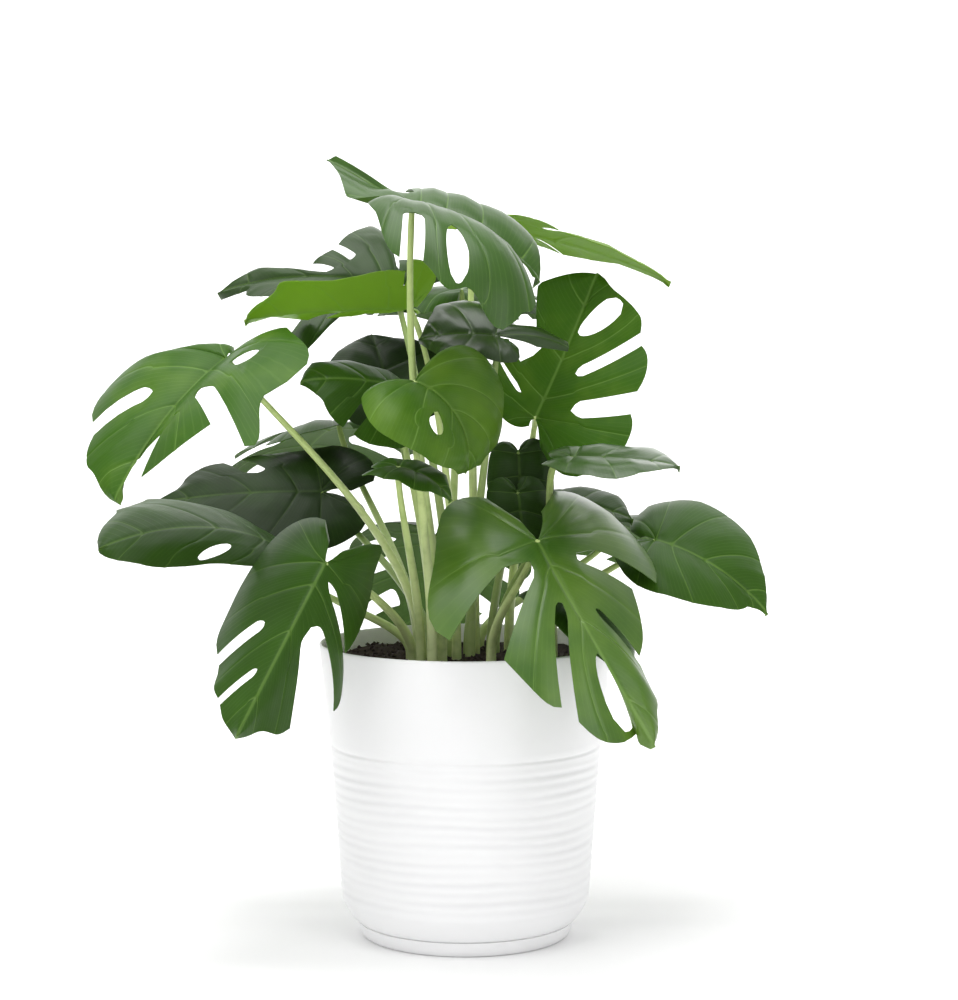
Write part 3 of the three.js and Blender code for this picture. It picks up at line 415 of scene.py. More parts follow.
def blade_material(name, upper):
    """Leaf blade: a green by the leaf's tone, which is partly how old it is and partly painted light
    and shade, pale main veins, faint fine veins and a satin gloss. Old and shaded, grown and fresh
    green are met at a tone of 0, 0.5 and 1."""
    settings = bpy.context.scene.plant_settings
    graph = Graph(name)
    tone = graph.attribute("tone")
    rib = graph.attribute("rib")
    across = graph.attribute("across")
    patches = graph.noise(22.0, 4.0)
    grain = graph.noise(160.0, 3.0)
    # painted light and shade: the tone, with random patches, darkens leaves in shade and lightens lit
    # ones, besides showing how old each is
    leaf_youth_and_light = tone + (patches - 0.5) * 0.3
    old_and_shaded_green = graph.mix((leaf_youth_and_light * 2.0).clamped(), tuple(settings.old_and_shaded), tuple(settings.green))
    base = graph.mix((leaf_youth_and_light * 2.0 - 1.0).clamped(), old_and_shaded_green, tuple(settings.fresh))
    if not upper:
        base = graph.mix(0.25 + patches * 0.3, base, tuple(settings.underside))
    vein = 1 - graph.between(rib, 0.3, 1.3)
    fine = (across * FINE_VEINS).sine() * 0.5 + 0.5
    lines = graph.between(fine, 0.86, 1.0)
    pale = (leaf_youth_and_light * 0.95).clamped() * 0.8 + 0.07
    coloured = graph.mix(vein * pale, base, tuple(settings.vein))
    coloured = graph.mix(lines * pale * 0.2, coloured, tuple(settings.vein))
    height = lines * 0.35 + grain * 0.25
    normal = graph.bump(height, 0.16, 0.0012)
    surface = graph.node("ShaderNodeBsdfPrincipled", None, {
        "Base Color": coloured,
        "Roughness": (0.34 if upper else 0.5) + grain * 0.12,
        "IOR": 1.45,
        "Specular IOR Level": 0.14,
        "Coat Weight": graph.attribute("shine"),
        "Coat Roughness": 0.3,
        "Normal": normal,
    })
    glow = graph.node("ShaderNodeBsdfTranslucent", None, {"Color": (0.37, 0.58, 0.06)})
    through = tone * tone * 0.5 + 0.02
    return graph.finish(graph.node("ShaderNodeMixShader", None, [through, surface, glow]))


def stalk_material():
    """Stalk: green, paler and yellower toward the soil and where its leaf's tone is high; a low tone,
    which is partly how old the leaf is and partly painted shade, makes it dark green. It has lengthwise
    streaks.
    """
    settings = bpy.context.scene.plant_settings
    graph = Graph("stalk_green")
    along = graph.attribute("along")
    streak = graph.noise(90.0, 3.0)
    # painted shade: stalks of low-tone leaves, the old ones and the shaded ones, turn dark green
    stalk_youth_and_light = (graph.attribute("tone") * 1.5 + 0.25).clamped()
    green = graph.mix(stalk_youth_and_light, (0.10, 0.19, 0.035), tuple(settings.stalk))
    pale = graph.mix((1 - along * 1.3).clamped() * stalk_youth_and_light * 0.8, green, (0.84, 0.92, 0.52))
    coloured = graph.mix(graph.between(streak, 0.45, 0.75) * 0.3, pale, (0.20, 0.34, 0.06))
    surface = graph.node("ShaderNodeBsdfPrincipled", None, {
        "Base Color": coloured,
        "Roughness": 0.4,
        "IOR": 1.45,
        "Normal": graph.bump(graph.noise(220.0), 0.12, 0.001),
    })
    return graph.finish(surface)


def plastic_material():
    """White moulded plastic with a satin gloss; painted shade darkens its colour in the valleys of the
    ripples, over a faint random mottle.
    """
    settings = bpy.context.scene.pot_settings
    graph = Graph("white_plastic")
    mottle = graph.noise(60.0, 2.0)
    # painted shade: the colour turns greyer in the ripples' valleys, over a faint random mottle
    valley_shade_and_mottle = graph.attribute("valley") * 0.55 + mottle * 0.1
    coloured = graph.mix(valley_shade_and_mottle, tuple(settings.plastic), (0.79, 0.79, 0.80))
    surface = graph.node("ShaderNodeBsdfPrincipled", None, {
        "Base Color": coloured,
        "Roughness": 0.4,
        "IOR": 1.5,
        "Specular IOR Level": 0.3,
        "Normal": graph.bump(graph.noise(240.0, 2.0), 0.04, 0.001),
    })
    return graph.finish(surface)


def soil_material():
    """Dark potting soil with paler fibres."""
    settings = bpy.context.scene.pot_settings
    graph = Graph("potting_soil")
    crumbs = graph.noise(260.0, 5.0, 0.7)
    pale = graph.between(graph.noise(420.0, 2.0), 0.62, 0.75)
    coloured = graph.mix(pale * 0.5, tuple(settings.soil), (0.11, 0.065, 0.04))
    surface = graph.node("ShaderNodeBsdfPrincipled", None, {
        "Base Color": coloured,
        "Roughness": 0.92,
        "Normal": graph.bump(crumbs, 0.8, 0.003),
    })
    return graph.finish(surface)


# Meshes


def mesh_piece(name, points, faces, materials, nodes=(), kinds=None, attributes=None, sharp=None):
    """Makes a piece from points in millimetres and a list of face arrays, and puts it in the frame."""
    mesh = bpy.data.meshes.new(name)
    loops = np.concatenate([f.ravel() for f in faces]).astype(np.int32)
    sizes = np.concatenate([np.full(len(f), f.shape[1]) for f in faces]).astype(np.int32)
    starts = np.concatenate([[0], np.cumsum(sizes)[:-1]]).astype(np.int32)
    mesh.vertices.add(len(points))
    mesh.vertices.foreach_set("co", (points * MM).astype(np.float32).ravel())
    mesh.loops.add(len(loops))
    mesh.loops.foreach_set("vertex_index", loops)
    mesh.polygons.add(len(sizes))
    mesh.polygons.foreach_set("loop_start", starts)
    mesh.polygons.foreach_set("loop_total", sizes)
    for material in materials:
        mesh.materials.append(material)
    if kinds is not None:
        mesh.polygons.foreach_set("material_index", kinds.astype(np.int32))
    mesh.polygons.foreach_set("use_smooth", np.ones(len(sizes), bool))
    for key, values in (attributes or {}).items():
        mesh.attributes.new(key, "FLOAT", "POINT").data.foreach_set("value", values.astype(np.float32))
    mesh.update(calc_edges=True)
    mesh.validate()
    if sharp is not None:
        mesh.set_sharp_from_angle(angle=math.radians(sharp))
    piece = bpy.data.objects.new(name, mesh)
    bpy.context.scene.collection.objects.link(piece)
    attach(piece, "root")
    if nodes:
        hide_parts(*nodes)
    return piece


def grid_faces(rows, columns, offset=0, wrap=False):
    """Quads of a grid of points, counted row by row; the last column joins the first where it wraps."""
    across = columns if wrap else columns - 1
    row, column = np.meshgrid(np.arange(rows - 1), np.arange(across), indexing="ij")
    a = offset + row * columns + column
    b = offset + row * columns + (column + 1) % columns
    return np.stack([a, b, b + columns, a + columns], -1).reshape(-1, 4)


def end_fans(rows, sides):
    """Triangles that close a tube's first and last ring to the two points that follow its rings."""
    ring = np.arange(sides)
    after = (ring + 1) % sides
    last = (rows - 1) * sides
    start, end = rows * sides, rows * sides + 1
    return np.concatenate([
        np.stack([np.full(sides, start), after, ring], -1),
        np.stack([np.full(sides, end), last + ring, last + after], -1),
    ])


def smooth_at(stations, values, k):
    """A smooth curve through values at rising stations: a cubic on each stretch, whose slope at a
    station is the harmonic mean of the slopes on its two sides, and none where they differ in sign."""
    stations, values = np.asarray(stations, float), np.asarray(values, float)
    rises = np.diff(values) / np.diff(stations)
    both = rises[:-1] * rises[1:]
    total = rises[:-1] + rises[1:]
    inner = np.where(both > 0, 2 * both / np.where(both > 0, total, 1), 0)
    slopes = np.concatenate([rises[:1], inner, rises[-1:]])
    i = np.clip(np.searchsorted(stations, k, side="right") - 1, 0, len(values) - 2)
    h = stations[i + 1] - stations[i]
    s = np.clip((k - stations[i]) / h, 0, 1)
    return (
        (2 * s**3 - 3 * s**2 + 1) * values[i] + (s**3 - 2 * s**2 + s) * h * slopes[i]
        + (3 * s**2 - 2 * s**3) * values[i + 1] + (s**3 - s**2) * h * slopes[i + 1]
    )


def flat_points(leaf, lobes, k, t):
    """A point of the flat half blade. k runs along the margin from the cleft to the tip and gives the
    end of a side vein by direction and reach; the vein is a quadratic curve from its root on the
    midrib to that end, and t is the way along it."""
    n = len(lobes) - 1
    stations = [0] + [i + corner for i in range(n + 1) for corner in (CORNER, 1 - CORNER)] + [n + 1]
    turns = [lobes[0][0] + CLEFT_TURN] + [turn for l in lobes for turn in (l[0], l[2])] + [0]
    reaches = [lobes[0][1] * 0.55] + [reach for l in lobes for reach in (l[1], l[3])] + [leaf["length"]]
    turn = np.radians(smooth_at(stations, turns, k))
    reach = smooth_at(stations, reaches, k)
    end_x, end_y = reach * np.sin(turn), reach * np.cos(turn)
    fan = FAN_SHARE * (n + 1)
    root = leaf["length"] * np.clip((k - fan) / (n + 1 - fan), 0, 1) ** ROOT_POWER
    bow_x, bow_y = end_x / 2, root + VEIN_BOW * (end_y - root)
    s = 1 - t
    return 2 * t * s * bow_x + t * t * end_x, s * s * root + 2 * t * s * bow_y + t * t * end_y


def bent(leaf, x, y, lift):
    """Bends flat points: each half folds up from the midrib and curls down in proportion to its
    distance from it, the midrib arches down as a circle does, and it may bow sideways as a parabola
    that runs on straight past both ends."""
    away = np.abs(x)
    fold = np.where(x < 0, leaf["fold_left"], leaf["fold"])
    across = np.radians(fold) - np.radians(leaf["curl"]) * away / leaf["length"]
    height = away * np.sin(across) + lift
    along = -0.5 * np.radians(leaf["bend"]) * y / leaf["length"]
    s = y / leaf["length"]
    bow = np.where(s < 0, s, np.where(s > 1, 1 - s, s * (1 - s)))
    aside = 4 * leaf["bow"] * leaf["length"] * bow
    return np.stack([
        np.sign(x) * away * np.cos(across) + aside,
        y * np.cos(along) - height * np.sin(2 * along),
        y * np.sin(along) + height * np.cos(2 * along),
    ], -1)


def leaf_axes(leaf):
    """Rows x, y and z of a leaf: y is its midrib's direction by heading and rise, x its right side
    turned about it, and z out of its upper face."""
    heading, rise, turn = (math.radians(leaf[key]) for key in ("heading", "rise", "turn"))
    y = np.array([
        math.sin(heading) * math.cos(rise), -math.cos(heading) * math.cos(rise), math.sin(rise)
    ])
    side = np.array([-math.cos(heading), -math.sin(heading), 0.0])
    up = np.cross(side, y)
    x = side * math.cos(turn) - up * math.sin(turn)
    z = up * math.cos(turn) + side * math.sin(turn)
    return np.stack([x, y, z])


def full_lobes(leaf, side):
    """The lobes of a half blade, each with a share, a lift and a slit width, given or usual."""
    return [lobe + [1, 0, leaf["slit"]][len(lobe) - 4:] for lobe in leaf.get(side) or leaf["both"]]


def is_slit(share):
    """Whether a lobe's share of whole blade leaves a slit after it."""
    return share < 0.95


def slit_half_width(lobe, u, strip):
    """Half the width of the slit after a lobe at u, in lobes: an open one has a blunt inner end, a
    closed one is an ellipse-like hole up to the strip."""
    share, width = lobe[4], lobe[6]
    if not is_slit(share):
        return np.zeros_like(u)
    if share < 0:
        return np.where(u < strip, 1.3 * width * np.sqrt(np.sin(np.pi * np.clip(u / strip, 0, 1))), 0)
    return width * np.sqrt(np.clip(u / 0.12, 0, 1)) * (1.5 - 0.5 * u)


def whole_share(lobes, k):
    """The share of the blade that stays whole, in a straight line between the slits' inner ends."""
    shares = [min(abs(l[4]), 0.6) for l in lobes[:-1]]
    return np.interp(k, np.arange(1, len(lobes)), shares)


def half_blade(leaf, side, webs, tips, columns):
    """All the lobes of a half blade as grids of local points, with the distance from the veins and
    the way along the margin at each. The quilting rises between two joined side veins and falls
    toward a slit."""
    settings = bpy.context.scene.plant_settings
    lobes = full_lobes(leaf, side)
    n = len(lobes) - 1
    sign = 1 if side == "right" else -1
    strip = leaf["strip"]
    w = np.concatenate([webs, np.ones(len(tips))])[:, None]
    u = np.concatenate([np.zeros(len(webs)), tips])[:, None]
    c = columns[None, :]
    lifts = [0, *(lobe[5] for lobe in lobes), 0]
    grids = []
    for i in range(n + 1):
        before = lobes[i - 1][4] if i else 1
        after = lobes[i][4] if i < n else 1
        low = slit_half_width(lobes[i - 1] if i else JOINED, u, strip)
        high = slit_half_width(lobes[i] if i < n else JOINED, u, strip)
        k = i + low + c * (1 - low - high)
        whole = whole_share(lobes, k)
        end = np.ones_like(k)
        if is_slit(before) and before > 0:
            end = end - LOBE_ROUNDING * np.clip(1 - 2 * c, 0, 1) ** 2.4
        if is_slit(after) and after > 0:
            end = end - LOBE_ROUNDING * np.clip(2 * c - 1, 0, 1) ** 2.4
        t = np.where(u > 0, whole + u * end * (1 - whole), w * whole)
        x, y = flat_points(leaf, lobes, k, t)
        steps = np.hypot(np.diff(x, axis=1), np.diff(y, axis=1))
        run = np.concatenate([np.zeros((len(w), 1)), np.cumsum(steps, 1)], 1)
        middle = len(columns) // 2
        from_vein = np.abs(run - run[:, middle: middle + 1])
        from_rib = np.hypot(x, np.minimum(y, 0))
        sway = 1 + 0.5 * np.sin(2.4 * k + leaf["length"] + (1.7 if side == "left" else 0))
        own = lifts[i + 1]
        left = own if is_slit(before) or i == 0 else (own + lifts[i]) / 2
        right = own if is_slit(after) or i == n else (own + lifts[i + 2]) / 2
        lift = np.where(c < 0.5, left + (own - left) * 2 * c, own + (right - own) * (2 * c - 1))
        half = np.abs(2 * c - 1) ** 1.6
        joined = np.where(c < 0.5, not is_slit(before) and i > 0, not is_slit(after) and i < n)
        quilt = np.where(joined, QUILT_UP, -QUILT_DOWN) * half * np.clip(2.2 * t, 0, 1)
        groove = np.exp(-((from_vein / VEIN_WIDTH) ** 2)) * (1 - 0.6 * t)
        groove = groove + 1.2 * np.exp(-((from_rib / RIB_WIDTH) ** 2))
        height = quilt - settings.vein_depth * groove + (lift - leaf["droop"] * sway) * u * u
        rib = np.minimum(from_vein * (1 + 1.2 * t), from_rib * 0.6)
        grids.append((bent(leaf, sign * x, y, height), rib, k))
    return grids


def weld(points, *values):
    """Joins points that lie in the same 0.005 mm, and keeps the first of each value."""
    keys = np.round(points * 200).astype(np.int64)
    _, first, index = np.unique(keys, axis=0, return_index=True, return_inverse=True)
    return points[first], index.ravel(), [v[first] for v in values]


def blade_sheet(leaf):
    """Both halves of a blade as one welded sheet: points in the plant's frame, quads, and at each point
    the distance from the veins and the way along the margin."""
    webs = np.linspace(0, 1, WEB_ROWS)
    tips = np.linspace(0, 1, TIP_ROWS)[1:] ** 1.4
    if min(lobe[4] for side in ("right", "left") for lobe in full_lobes(leaf, side)) < 0:
        strip = leaf["strip"]
        tips = np.unique(np.round(np.concatenate([
            strip * np.linspace(0, 1, 10)[1:] ** 1.3, [strip * 0.985], np.linspace(strip, 1, 4)]), 4))
    spread = np.array([0.03, 0.07, 0.14, 0.24, 0.36, 0.5])
    columns = np.concatenate([0.5 - spread[::-1], [0.5], 0.5 + spread])
    points, faces, ribs, ks = [], [], [], []
    start = 0
    for side in ("right", "left"):
        for grid, rib, k in half_blade(leaf, side, webs, tips, columns):
            quads = grid_faces(grid.shape[0], grid.shape[1], start)
            faces.append(quads if side == "left" else quads[:, ::-1])
            points.append(grid.reshape(-1, 3))
            ribs.append(rib.ravel())
            ks.append((k if side == "left" else -k).ravel())
            start += grid.shape[0] * grid.shape[1]
    local, index, (rib, k) = weld(np.concatenate(points), np.concatenate(ribs), np.concatenate(ks))
    return local @ leaf_axes(leaf) + np.array(leaf["at"], float), index[np.concatenate(faces)], rib, k


def split_quads(quads):
    """Quads as triangles, without those that a shared point has closed."""
    triangles = np.concatenate([quads[:, [0, 1, 2]], quads[:, [0, 2, 3]]])
    a, b, c = triangles.T
    return triangles[(a != b) & (b != c) & (c != a)]


def thicken(points, triangles, thickness):
    """Gives a sheet its thickness along the mean normal at each point, and walls at its open edges."""
    corners = points[triangles]
    normals = np.cross(corners[:, 1] - corners[:, 0], corners[:, 2] - corners[:, 0])
    mean = np.zeros_like(points)
    for corner in range(3):
        np.add.at(mean, triangles[:, corner], normals)
    mean /= np.maximum(np.linalg.norm(mean, axis=1, keepdims=True), 1e-12)
    count = len(points)
    edges = np.concatenate([triangles[:, [0, 1]], triangles[:, [1, 2]], triangles[:, [2, 0]]])
    codes = edges[:, 0] * count + edges[:, 1]
    open_edges = edges[~np.isin(codes, edges[:, 1] * count + edges[:, 0])]
    a, b = open_edges.T
    walls = np.stack([b, a, a + count, b + count], -1)
    both = np.concatenate([points + mean * thickness / 2, points - mean * thickness / 2])
    kinds = np.concatenate([np.zeros(len(triangles)), np.ones(len(triangles) + len(walls))])
    return both, [triangles, triangles[:, ::-1] + count, walls], kinds


def make_blade(leaf, materials):
    """One fine blade in place of its plain solid."""
    settings = bpy.context.scene.plant_settings
    points, quads, rib, k = blade_sheet(leaf)
    both, faces, kinds = thicken(points, split_quads(quads), settings.blade_thickness)
    twice = {
        "rib": np.tile(rib, 2),
        "across": np.tile(k, 2),
        "tone": np.full(2 * len(rib), leaf["tone"]),
        "shine": np.full(2 * len(rib), leaf["shine"]),
    }
    name = leaf["name"]
    return mesh_piece(
        f"blade_{name}", both, faces, materials, [f"leaf_{name}_blade"], kinds, twice,
        sharp=60,
    )


def stalk_line(leaf, count):
    """The stalk's middle line: straight up out of the soil, then a cubic curve that leans over and
    bends at its knee to meet the underside of the blade."""
    bx, by = leaf["base"]
    z = leaf_axes(leaf)[2]
    knee = np.array(leaf["knee"], float)
    settings = bpy.context.scene.plant_settings
    tilt = math.sqrt(max(0.0, 1 - float(knee @ z / np.linalg.norm(knee)) ** 2))
    dip = 0.15 + max(0.0, math.sin(math.radians(-leaf["fold"])))
    end = np.array(leaf["at"], float) - z * (0.2 + settings.stalk_top * (tilt + dip) * 0.8)
    out = np.array([bx, by, SOIL_TOP + 5.0])
    lean = np.array([bx, by, SOIL_TOP + leaf["out"] * (end[2] - SOIL_TOP)])
    s = np.linspace(0, 1, count)[:, None]
    curve = (
        (1 - s) ** 3 * out + 3 * (1 - s) ** 2 * s * lean
        + 3 * (1 - s) * s**2 * (end + knee) + s**3 * end
    )
    foot = np.array([[bx, by, SOIL_TOP - STALK_DEPTH], [bx, by, SOIL_TOP - 4.0]])
    return np.concatenate([foot, curve])


def rod(line, radii, across, shape):
    """A closed rod: a ring round each point of the line, square to it, with its first side across.
    shape gives each side's share of the radius."""
    way = np.gradient(line, axis=0)
    way /= np.linalg.norm(way, axis=1, keepdims=True)
    first = across - way * (way @ across)[:, None]
    first /= np.linalg.norm(first, axis=1, keepdims=True)
    second = np.cross(way, first)
    sides = len(shape)
    angle = np.linspace(0, 2 * np.pi, sides, endpoint=False)
    rings = line[:, None] + (radii[:, None] * shape)[..., None] * (
        first[:, None] * np.cos(angle)[None, :, None] + second[:, None] * np.sin(angle)[None, :, None]
    )
    points = np.concatenate([rings.reshape(-1, 3), line[:1], line[-1:]])
    return points, [grid_faces(len(line), sides, wrap=True), end_fans(len(line), sides)]


def make_stalk(leaf, material):
    """One fine stalk: it tapers upward, has a shallow channel on its upper side and a slightly
    thicker joint just under the blade."""
    settings = bpy.context.scene.plant_settings
    line = stalk_line(leaf, STALK_POINTS)
    steps = np.linalg.norm(np.diff(line, axis=0), axis=1)
    along = np.concatenate([[0], np.cumsum(steps)])
    along /= along[-1]
    radii = settings.stalk_base + (settings.stalk_top - settings.stalk_base) * along
    radii = radii + 0.35 * np.exp(-(((along - 0.95) / 0.03) ** 2))
    bx, by = leaf["base"]
    end = leaf["at"]
    across = np.array([by - end[1], end[0] - bx, 0.0])
    across = across if np.linalg.norm(across) > 1 else np.array([1.0, 0.0, 0.0])
    across /= np.linalg.norm(across)
    angle = np.linspace(0, 2 * np.pi, STALK_SIDES, endpoint=False)
    channel = 1 - CHANNEL_DEPTH * np.exp(-(((angle - 1.5 * np.pi) / 0.5) ** 2))
    points, faces = rod(line, radii, across, channel)
    share = np.concatenate([np.repeat(along, STALK_SIDES), [0, 1]])
    name = leaf["name"]
    return mesh_piece(
        f"stalk_{name}", points, faces, [material], [f"leaf_{name}_stalk"],
        attributes={"along": share, "tone": np.full(len(points), leaf["tone"])}, sharp=50,
    )


# Pot, saucer and soil


def turned(radii, heights, steps, swell=None):
    """A closed turned shape: rings of the radii at the heights, with a point on the axis at each end.
    swell adds to the radius over the rings and the way round."""
    angle = np.linspace(0, 2 * np.pi, steps, endpoint=False)[None, :]
    radius = radii[:, None] + (0 if swell is None else swell(angle, heights[:, None]))
    height = np.repeat(heights[:, None], steps, 1)
    points = np.stack([radius * np.cos(angle), radius * np.sin(angle), height], -1).reshape(-1, 3)
    points = np.concatenate([points, [[0, 0, heights[0]], [0, 0, heights[-1]]]])
    return points, [grid_faces(len(radii), steps, wrap=True), end_fans(len(radii), steps)]


def along_profile(corners, spacing):
    """Points at even steps along a profile of straight lines, corners kept."""
    corners = np.asarray(corners, float)
    parts = []
    for a, b in zip(corners[:-1], corners[1:]):
        count = max(1, int(np.ceil(np.linalg.norm(b - a) / spacing)))
        parts.append(a + (b - a) * np.linspace(0, 1, count, endpoint=False)[:, None])
    return np.concatenate(parts + [corners[-1:]])


def pot_radius(z):
    """The pot's outer radius at a height: one straight taper below the band and one over it."""
    upper = BAND_RADIUS + (RIM_RADIUS - BAND_RADIUS) * (z - BAND_BOTTOM) / (POT_TOP - BAND_BOTTOM)
    lower = FOOT_RADIUS + (BAND_RADIUS - FOOT_RADIUS) * (z - FOOT_HEIGHT) / (BAND_BOTTOM - FOOT_HEIGHT)
    return np.where(z >= BAND_BOTTOM, upper, lower)


def make_pot(material):
    """The pot: a turned wall whose lower part carries soft uneven ripples, each a wave in height
    whose size and phase drift slowly on the way round. It gets an attribute that is 1 in the deepest of
    the ripples' valleys, which paints shade into the plastic's colour there."""
    settings = bpy.context.scene.pot_settings
    base = SAUCER_FLOOR + GAP
    foot = [[84, base], [86.5, base + 1], [87.6, SAUCER_HEIGHT - 0.5], [92.6, SAUCER_HEIGHT + 0.25],
            [93.6, SAUCER_HEIGHT + 0.5], [95.4, SAUCER_HEIGHT + 1.7], [99, 18], [102.8, 24],
            [105.4, 29]]
    z = np.arange(33, BAND_BOTTOM - 3, 1.4)
    body = np.stack([pot_radius(z), z], -1)
    top = float(pot_radius(np.array(POT_TOP)))
    band = [[BAND_RADIUS - 0.1, BAND_BOTTOM - 3], [BAND_RADIUS - 0.6, BAND_BOTTOM - 1.6],
            [BAND_RADIUS - 1.1, BAND_BOTTOM - 0.6], [BAND_RADIUS - 0.7, BAND_BOTTOM + 0.6],
            [BAND_RADIUS + 0.1, BAND_BOTTOM + 1.8]]
    side = along_profile([[BAND_RADIUS + 0.6, BAND_BOTTOM + 6], [top - 0.1, POT_TOP - 1.6]], 4)
    rim = [[top - 0.25, POT_TOP - 0.7], [top - 0.8, POT_TOP - 0.1], [top - 1.4, POT_TOP],
           [top - 2.1, POT_TOP - 0.2], [top - WALL, POT_TOP - 1]]
    inside = along_profile([[top - WALL - 0.3, POT_TOP - 4], [BAND_RADIUS - WALL - 1.2, BAND_BOTTOM],
                            [96, 24], [82, base + FLOOR]], 12)
    profile = np.concatenate([foot, body, band, side, rim, inside])
    outer = len(foot) + len(body) + len(band)

    def ripples(angle, height):
        drift = 0.9 * np.sin(angle + 0.7) + 0.6 * np.sin(4 * angle + height * 0.05)
        size = 0.6 + 0.2 * np.sin(height * 0.11 + 3 * angle) + 0.2 * np.sin(height * 0.37 - 2 * angle)
        wave = np.sin(2 * np.pi * height / settings.ripple_pitch + drift) - 0.6
        fade = np.clip((height - 26) / 14, 0, 1) * np.clip((BAND_BOTTOM - 4 - height) / 6, 0, 1)
        on_outside = (np.arange(len(profile)) < outer)[:, None]
        return size * wave * fade * on_outside

    points, faces = turned(
        profile[:, 0], profile[:, 1], POT_SIDES,
        lambda angle, height: settings.ripple_depth * ripples(angle, height),
    )
    around = np.linspace(0, 2 * np.pi, POT_SIDES, endpoint=False)[None, :]
    # painted shade: how deep each point lies in a ripple, which darkens the plastic's colour there
    valley = np.concatenate([np.clip(-ripples(around, profile[:, 1:2]) / 1.4, 0, 1).ravel(), [0, 0]])
    return mesh_piece(
        "pot_shell", points, faces, [material], ["pot"], attributes={"valley": valley}, sharp=50
    )


def make_saucer(material):
    """The saucer: a turned low dish with rounded edges."""
    profile = np.array([
        [SAUCER_FOOT - 1, 0], [SAUCER_FOOT + 0.6, 0.3], [SAUCER_FOOT + 2.4, 1.6],
        [SAUCER_RADIUS + 0.3, 6], [SAUCER_RADIUS + 1.8, SAUCER_HEIGHT - 1.4],
        [SAUCER_RADIUS + 1.8, SAUCER_HEIGHT - 0.5], [SAUCER_RADIUS + 1.2, SAUCER_HEIGHT],
        [SAUCER_RADIUS, SAUCER_HEIGHT], [SAUCER_RADIUS - 0.4, SAUCER_HEIGHT - 0.8],
        [SAUCER_FOOT + 1.5, SAUCER_FLOOR],
    ], float)
    points, faces = turned(profile[:, 0], profile[:, 1], SAUCER_SIDES)
    return mesh_piece("saucer_dish", points, faces, [material], ["saucer"], sharp=40)


def soil_height(x, y):
    """Height of the soil over the pot: a level with two slow swells and finer bumps."""
    slow = np.sin(0.07 * x + 1.2) * np.cos(0.09 * y) + 0.6 * np.sin(0.13 * x - 0.11 * y)
    fine = 0.35 * np.sin(0.55 * x + 0.8 * y) * np.cos(0.62 * y - 0.3 * x)
    return SOIL_TOP + SOIL_BUMP * (slow + fine)


def make_soil(material):
    """The soil: a turned plug whose top is uneven, and a scatter of crumbs on it."""
    flare = (RIM_RADIUS - BAND_RADIUS) * (SOIL_TOP - BAND_BOTTOM) / (POT_TOP - BAND_BOTTOM)
    wall = BAND_RADIUS - WALL - 1.2 + flare
    base = SAUCER_FLOOR + GAP + FLOOR + GAP
    below = np.array([
        [81.7, base], [95.7, 24], [112, BAND_BOTTOM - 4], [wall - GAP - 0.6, SOIL_TOP - 8]
    ])
    shares = np.linspace(1, 0.02, SOIL_RINGS)
    top = np.stack([shares * (wall - GAP - 0.4), np.full(SOIL_RINGS, float(SOIL_TOP))], -1)
    profile = np.concatenate([below, top])
    points, faces = turned(profile[:, 0], profile[:, 1], SOIL_SIDES)
    on_top = points[:, 2] > SOIL_TOP - 1
    points[on_top, 2] = soil_height(points[on_top, 0], points[on_top, 1])
    mesh_piece("soil_plug", points, faces, [material], ["soil"])
    rng = np.random.default_rng(5)
    radius = (wall - 5) * np.sqrt(rng.uniform(0.0, 1, CRUMBS))
    angle = rng.uniform(0, 2 * np.pi, CRUMBS)
    x, y = radius * np.cos(angle), radius * np.sin(angle)
    size = rng.uniform(0.7, 2.6, CRUMBS)
    corner = np.array([[1, 0, 0], [0, 1, 0], [-1, 0, 0], [0, -1, 0], [0, 0, 0.8], [0, 0, -0.8]])
    shape = corner[None] * rng.uniform(0.6, 1.3, (CRUMBS, 6, 1)) * size[:, None, None]
    turn = rng.uniform(0, np.pi, CRUMBS)
    cos, sin = np.cos(turn)[:, None], np.sin(turn)[:, None]
    px = shape[..., 0] * cos - shape[..., 1] * sin + x[:, None]
    py = shape[..., 0] * sin + shape[..., 1] * cos + y[:, None]
    pz = shape[..., 2] + soil_height(x, y)[:, None] + 0.3 * size[:, None]
    crumbs = np.stack([px, py, pz], -1).reshape(-1, 3)
    faces = np.array([
        [0, 1, 4], [1, 2, 4], [2, 3, 4], [3, 0, 4], [1, 0, 5], [2, 1, 5], [3, 2, 5], [0, 3, 5]
    ])
    crumb_faces = (faces[None] + 6 * np.arange(CRUMBS)[:, None, None]).reshape(-1, 3)
    mesh_piece("soil_crumbs", crumbs, [crumb_faces], [material], sharp=30)


# Operators


class PLANT_OT_blades(bpy.types.Operator):
    """Makes the fine leaf blades"""

    bl_idname = "plant.blades"
    bl_label = "Leaf blades"

    def execute(self, context):
        materials = [blade_material("blade_upper", True), blade_material("blade_under", False)]
        for leaf in LEAVES:
            make_blade(leaf, materials)
        return {"FINISHED"}


class PLANT_OT_stalks(bpy.types.Operator):
    """Makes the fine leaf stalks"""

    bl_idname = "plant.stalks"
    bl_label = "Leaf stalks"

    def execute(self, context):
        material = stalk_material()
        for leaf in LEAVES:
            make_stalk(leaf, material)
        return {"FINISHED"}


class PLANT_OT_pot(bpy.types.Operator):
    """Makes the pot and its saucer"""

    bl_idname = "plant.pot"
    bl_label = "Pot and saucer"

    def execute(self, context):
        material = plastic_material()
        make_pot(material)
        make_saucer(material)
        return {"FINISHED"}


class PLANT_OT_soil(bpy.types.Operator):
    """Makes the soil and its crumbs"""

    bl_idname = "plant.soil"
    bl_label = "Soil"

    def execute(self, context):
        make_soil(soil_material())
        return {"FINISHED"}


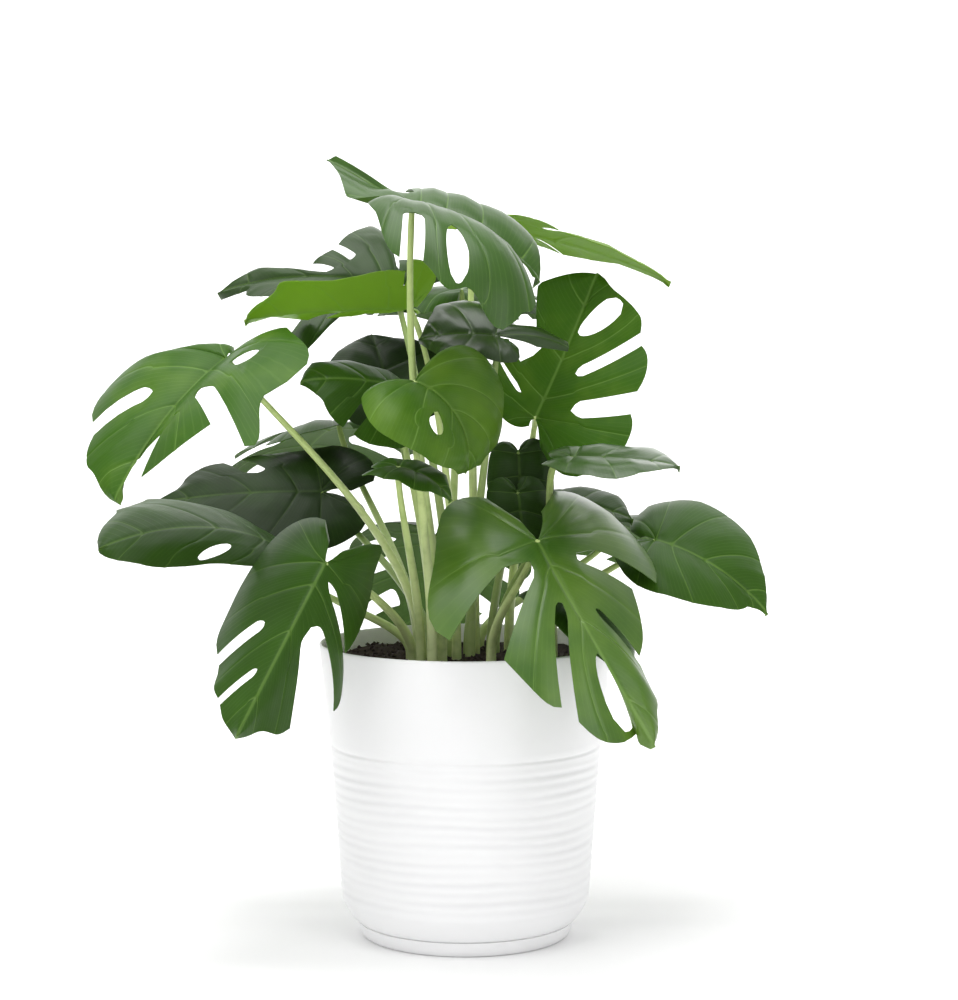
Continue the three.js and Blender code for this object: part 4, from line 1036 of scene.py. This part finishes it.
def area_light(name, place, target, width, height, power):
    """A rectangular soft light that faces a point."""
    data = bpy.data.lights.new(name, "AREA")
    data.shape = "RECTANGLE"
    data.size, data.size_y = width, height
    data.energy = power
    light = bpy.data.objects.new(name, data)
    light.location = place
    way = np.array(target, float) - np.array(place, float)
    way /= np.linalg.norm(way)
    light.rotation_euler = (math.acos(-way[2]), 0.0, math.atan2(way[0], -way[1]) + math.pi)
    bpy.context.scene.collection.objects.link(light)
    return light


class PLANT_OT_stage(bpy.types.Operator):
    """Makes the floor, the light and the camera"""

    bl_idname = "plant.stage"
    bl_label = "Floor, light and camera"

    def execute(self, context):
        settings = context.scene.stage_settings
        graph = Graph("plain_floor")
        surface = graph.node("ShaderNodeBsdfPrincipled", None, {
            "Base Color": tuple(settings.floor), "Roughness": 0.9, "Specular IOR Level": 0.1,
        })
        angle = np.linspace(0, np.pi / 2, 16)[1:]
        depth = np.concatenate([[FLOOR_FRONT, COVE], COVE + COVE * np.sin(angle), [2 * COVE]])
        rise = np.concatenate([[0, 0], COVE * (1 - np.cos(angle)), [BACKDROP_TOP]])
        across = np.array([-FLOOR_HALF, FLOOR_HALF])
        points = np.stack([
            np.tile(across, len(depth)), np.repeat(depth, 2), np.repeat(rise, 2)
        ], -1)
        mesh = bpy.data.meshes.new("floor")
        mesh.from_pydata(points.tolist(), [], grid_faces(len(depth), 2).tolist())
        mesh.materials.append(graph.finish(surface))
        mesh.polygons.foreach_set("use_smooth", np.ones(len(mesh.polygons), bool))
        floor = bpy.data.objects.new("floor", mesh)
        context.scene.collection.objects.link(floor)

        world = bpy.data.worlds.new("surround")
        world.use_nodes = True
        background = world.node_tree.nodes["Background"]
        background.inputs["Color"].default_value = (1, 1, 1, 1)
        background.inputs["Strength"].default_value = settings.world_strength
        context.scene.world = world
        for name, place, aim, width, height, share in LIGHTS:
            area_light(name, place, aim, width, height, settings.key_power * share)
        context.scene.view_settings.view_transform = "Standard"

        data = bpy.data.cameras.new("camera")
        data.sensor_fit = "HORIZONTAL"
        data.sensor_width = 36
        data.lens = LENS
        data.clip_start, data.clip_end = 0.05, 50
        camera = bpy.data.objects.new("camera", data)
        camera.location = CAMERA_PLACE
        camera.rotation_euler = (math.radians(90 - CAMERA_PITCH), 0, 0)
        context.scene.collection.objects.link(camera)
        context.scene.camera = camera
        return {"FINISHED"}


class PLANT_PT_panel(bpy.types.Panel):
    """Lists the steps in the 3D view's sidebar"""

    bl_idname = "PLANT_PT_panel"
    bl_label = "Potted plant"
    bl_space_type = "VIEW_3D"
    bl_region_type = "UI"
    bl_category = "Plant"

    def draw(self, context):
        for group in ("plant_settings", "pot_settings", "stage_settings"):
            box = self.layout.box()
            settings = getattr(context.scene, group)
            for key in settings.__annotations__:
                box.prop(settings, key)
        for operator in OPERATORS:
            self.layout.operator(operator.bl_idname)


OPERATORS = (PLANT_OT_pot, PLANT_OT_soil, PLANT_OT_stalks, PLANT_OT_blades, PLANT_OT_stage)
GROUPS = {"plant_settings": PlantSettings, "pot_settings": PotSettings, "stage_settings": StageSettings}


def register():
    for group in (*GROUPS.values(), *OPERATORS, PLANT_PT_panel):
        bpy.utils.register_class(group)
    for name, group in GROUPS.items():
        setattr(bpy.types.Scene, name, bpy.props.PointerProperty(type=group))


def unregister():
    for name in GROUPS:
        delattr(bpy.types.Scene, name)
    for group in (PLANT_PT_panel, *reversed(OPERATORS), *GROUPS.values()):
        bpy.utils.unregister_class(group)


def main():
    register()
    bpy.ops.plant.pot()
    bpy.ops.plant.soil()
    bpy.ops.plant.stalks()
    bpy.ops.plant.blades()
    bpy.ops.plant.stage()


if __name__ == "__main__":
    main()
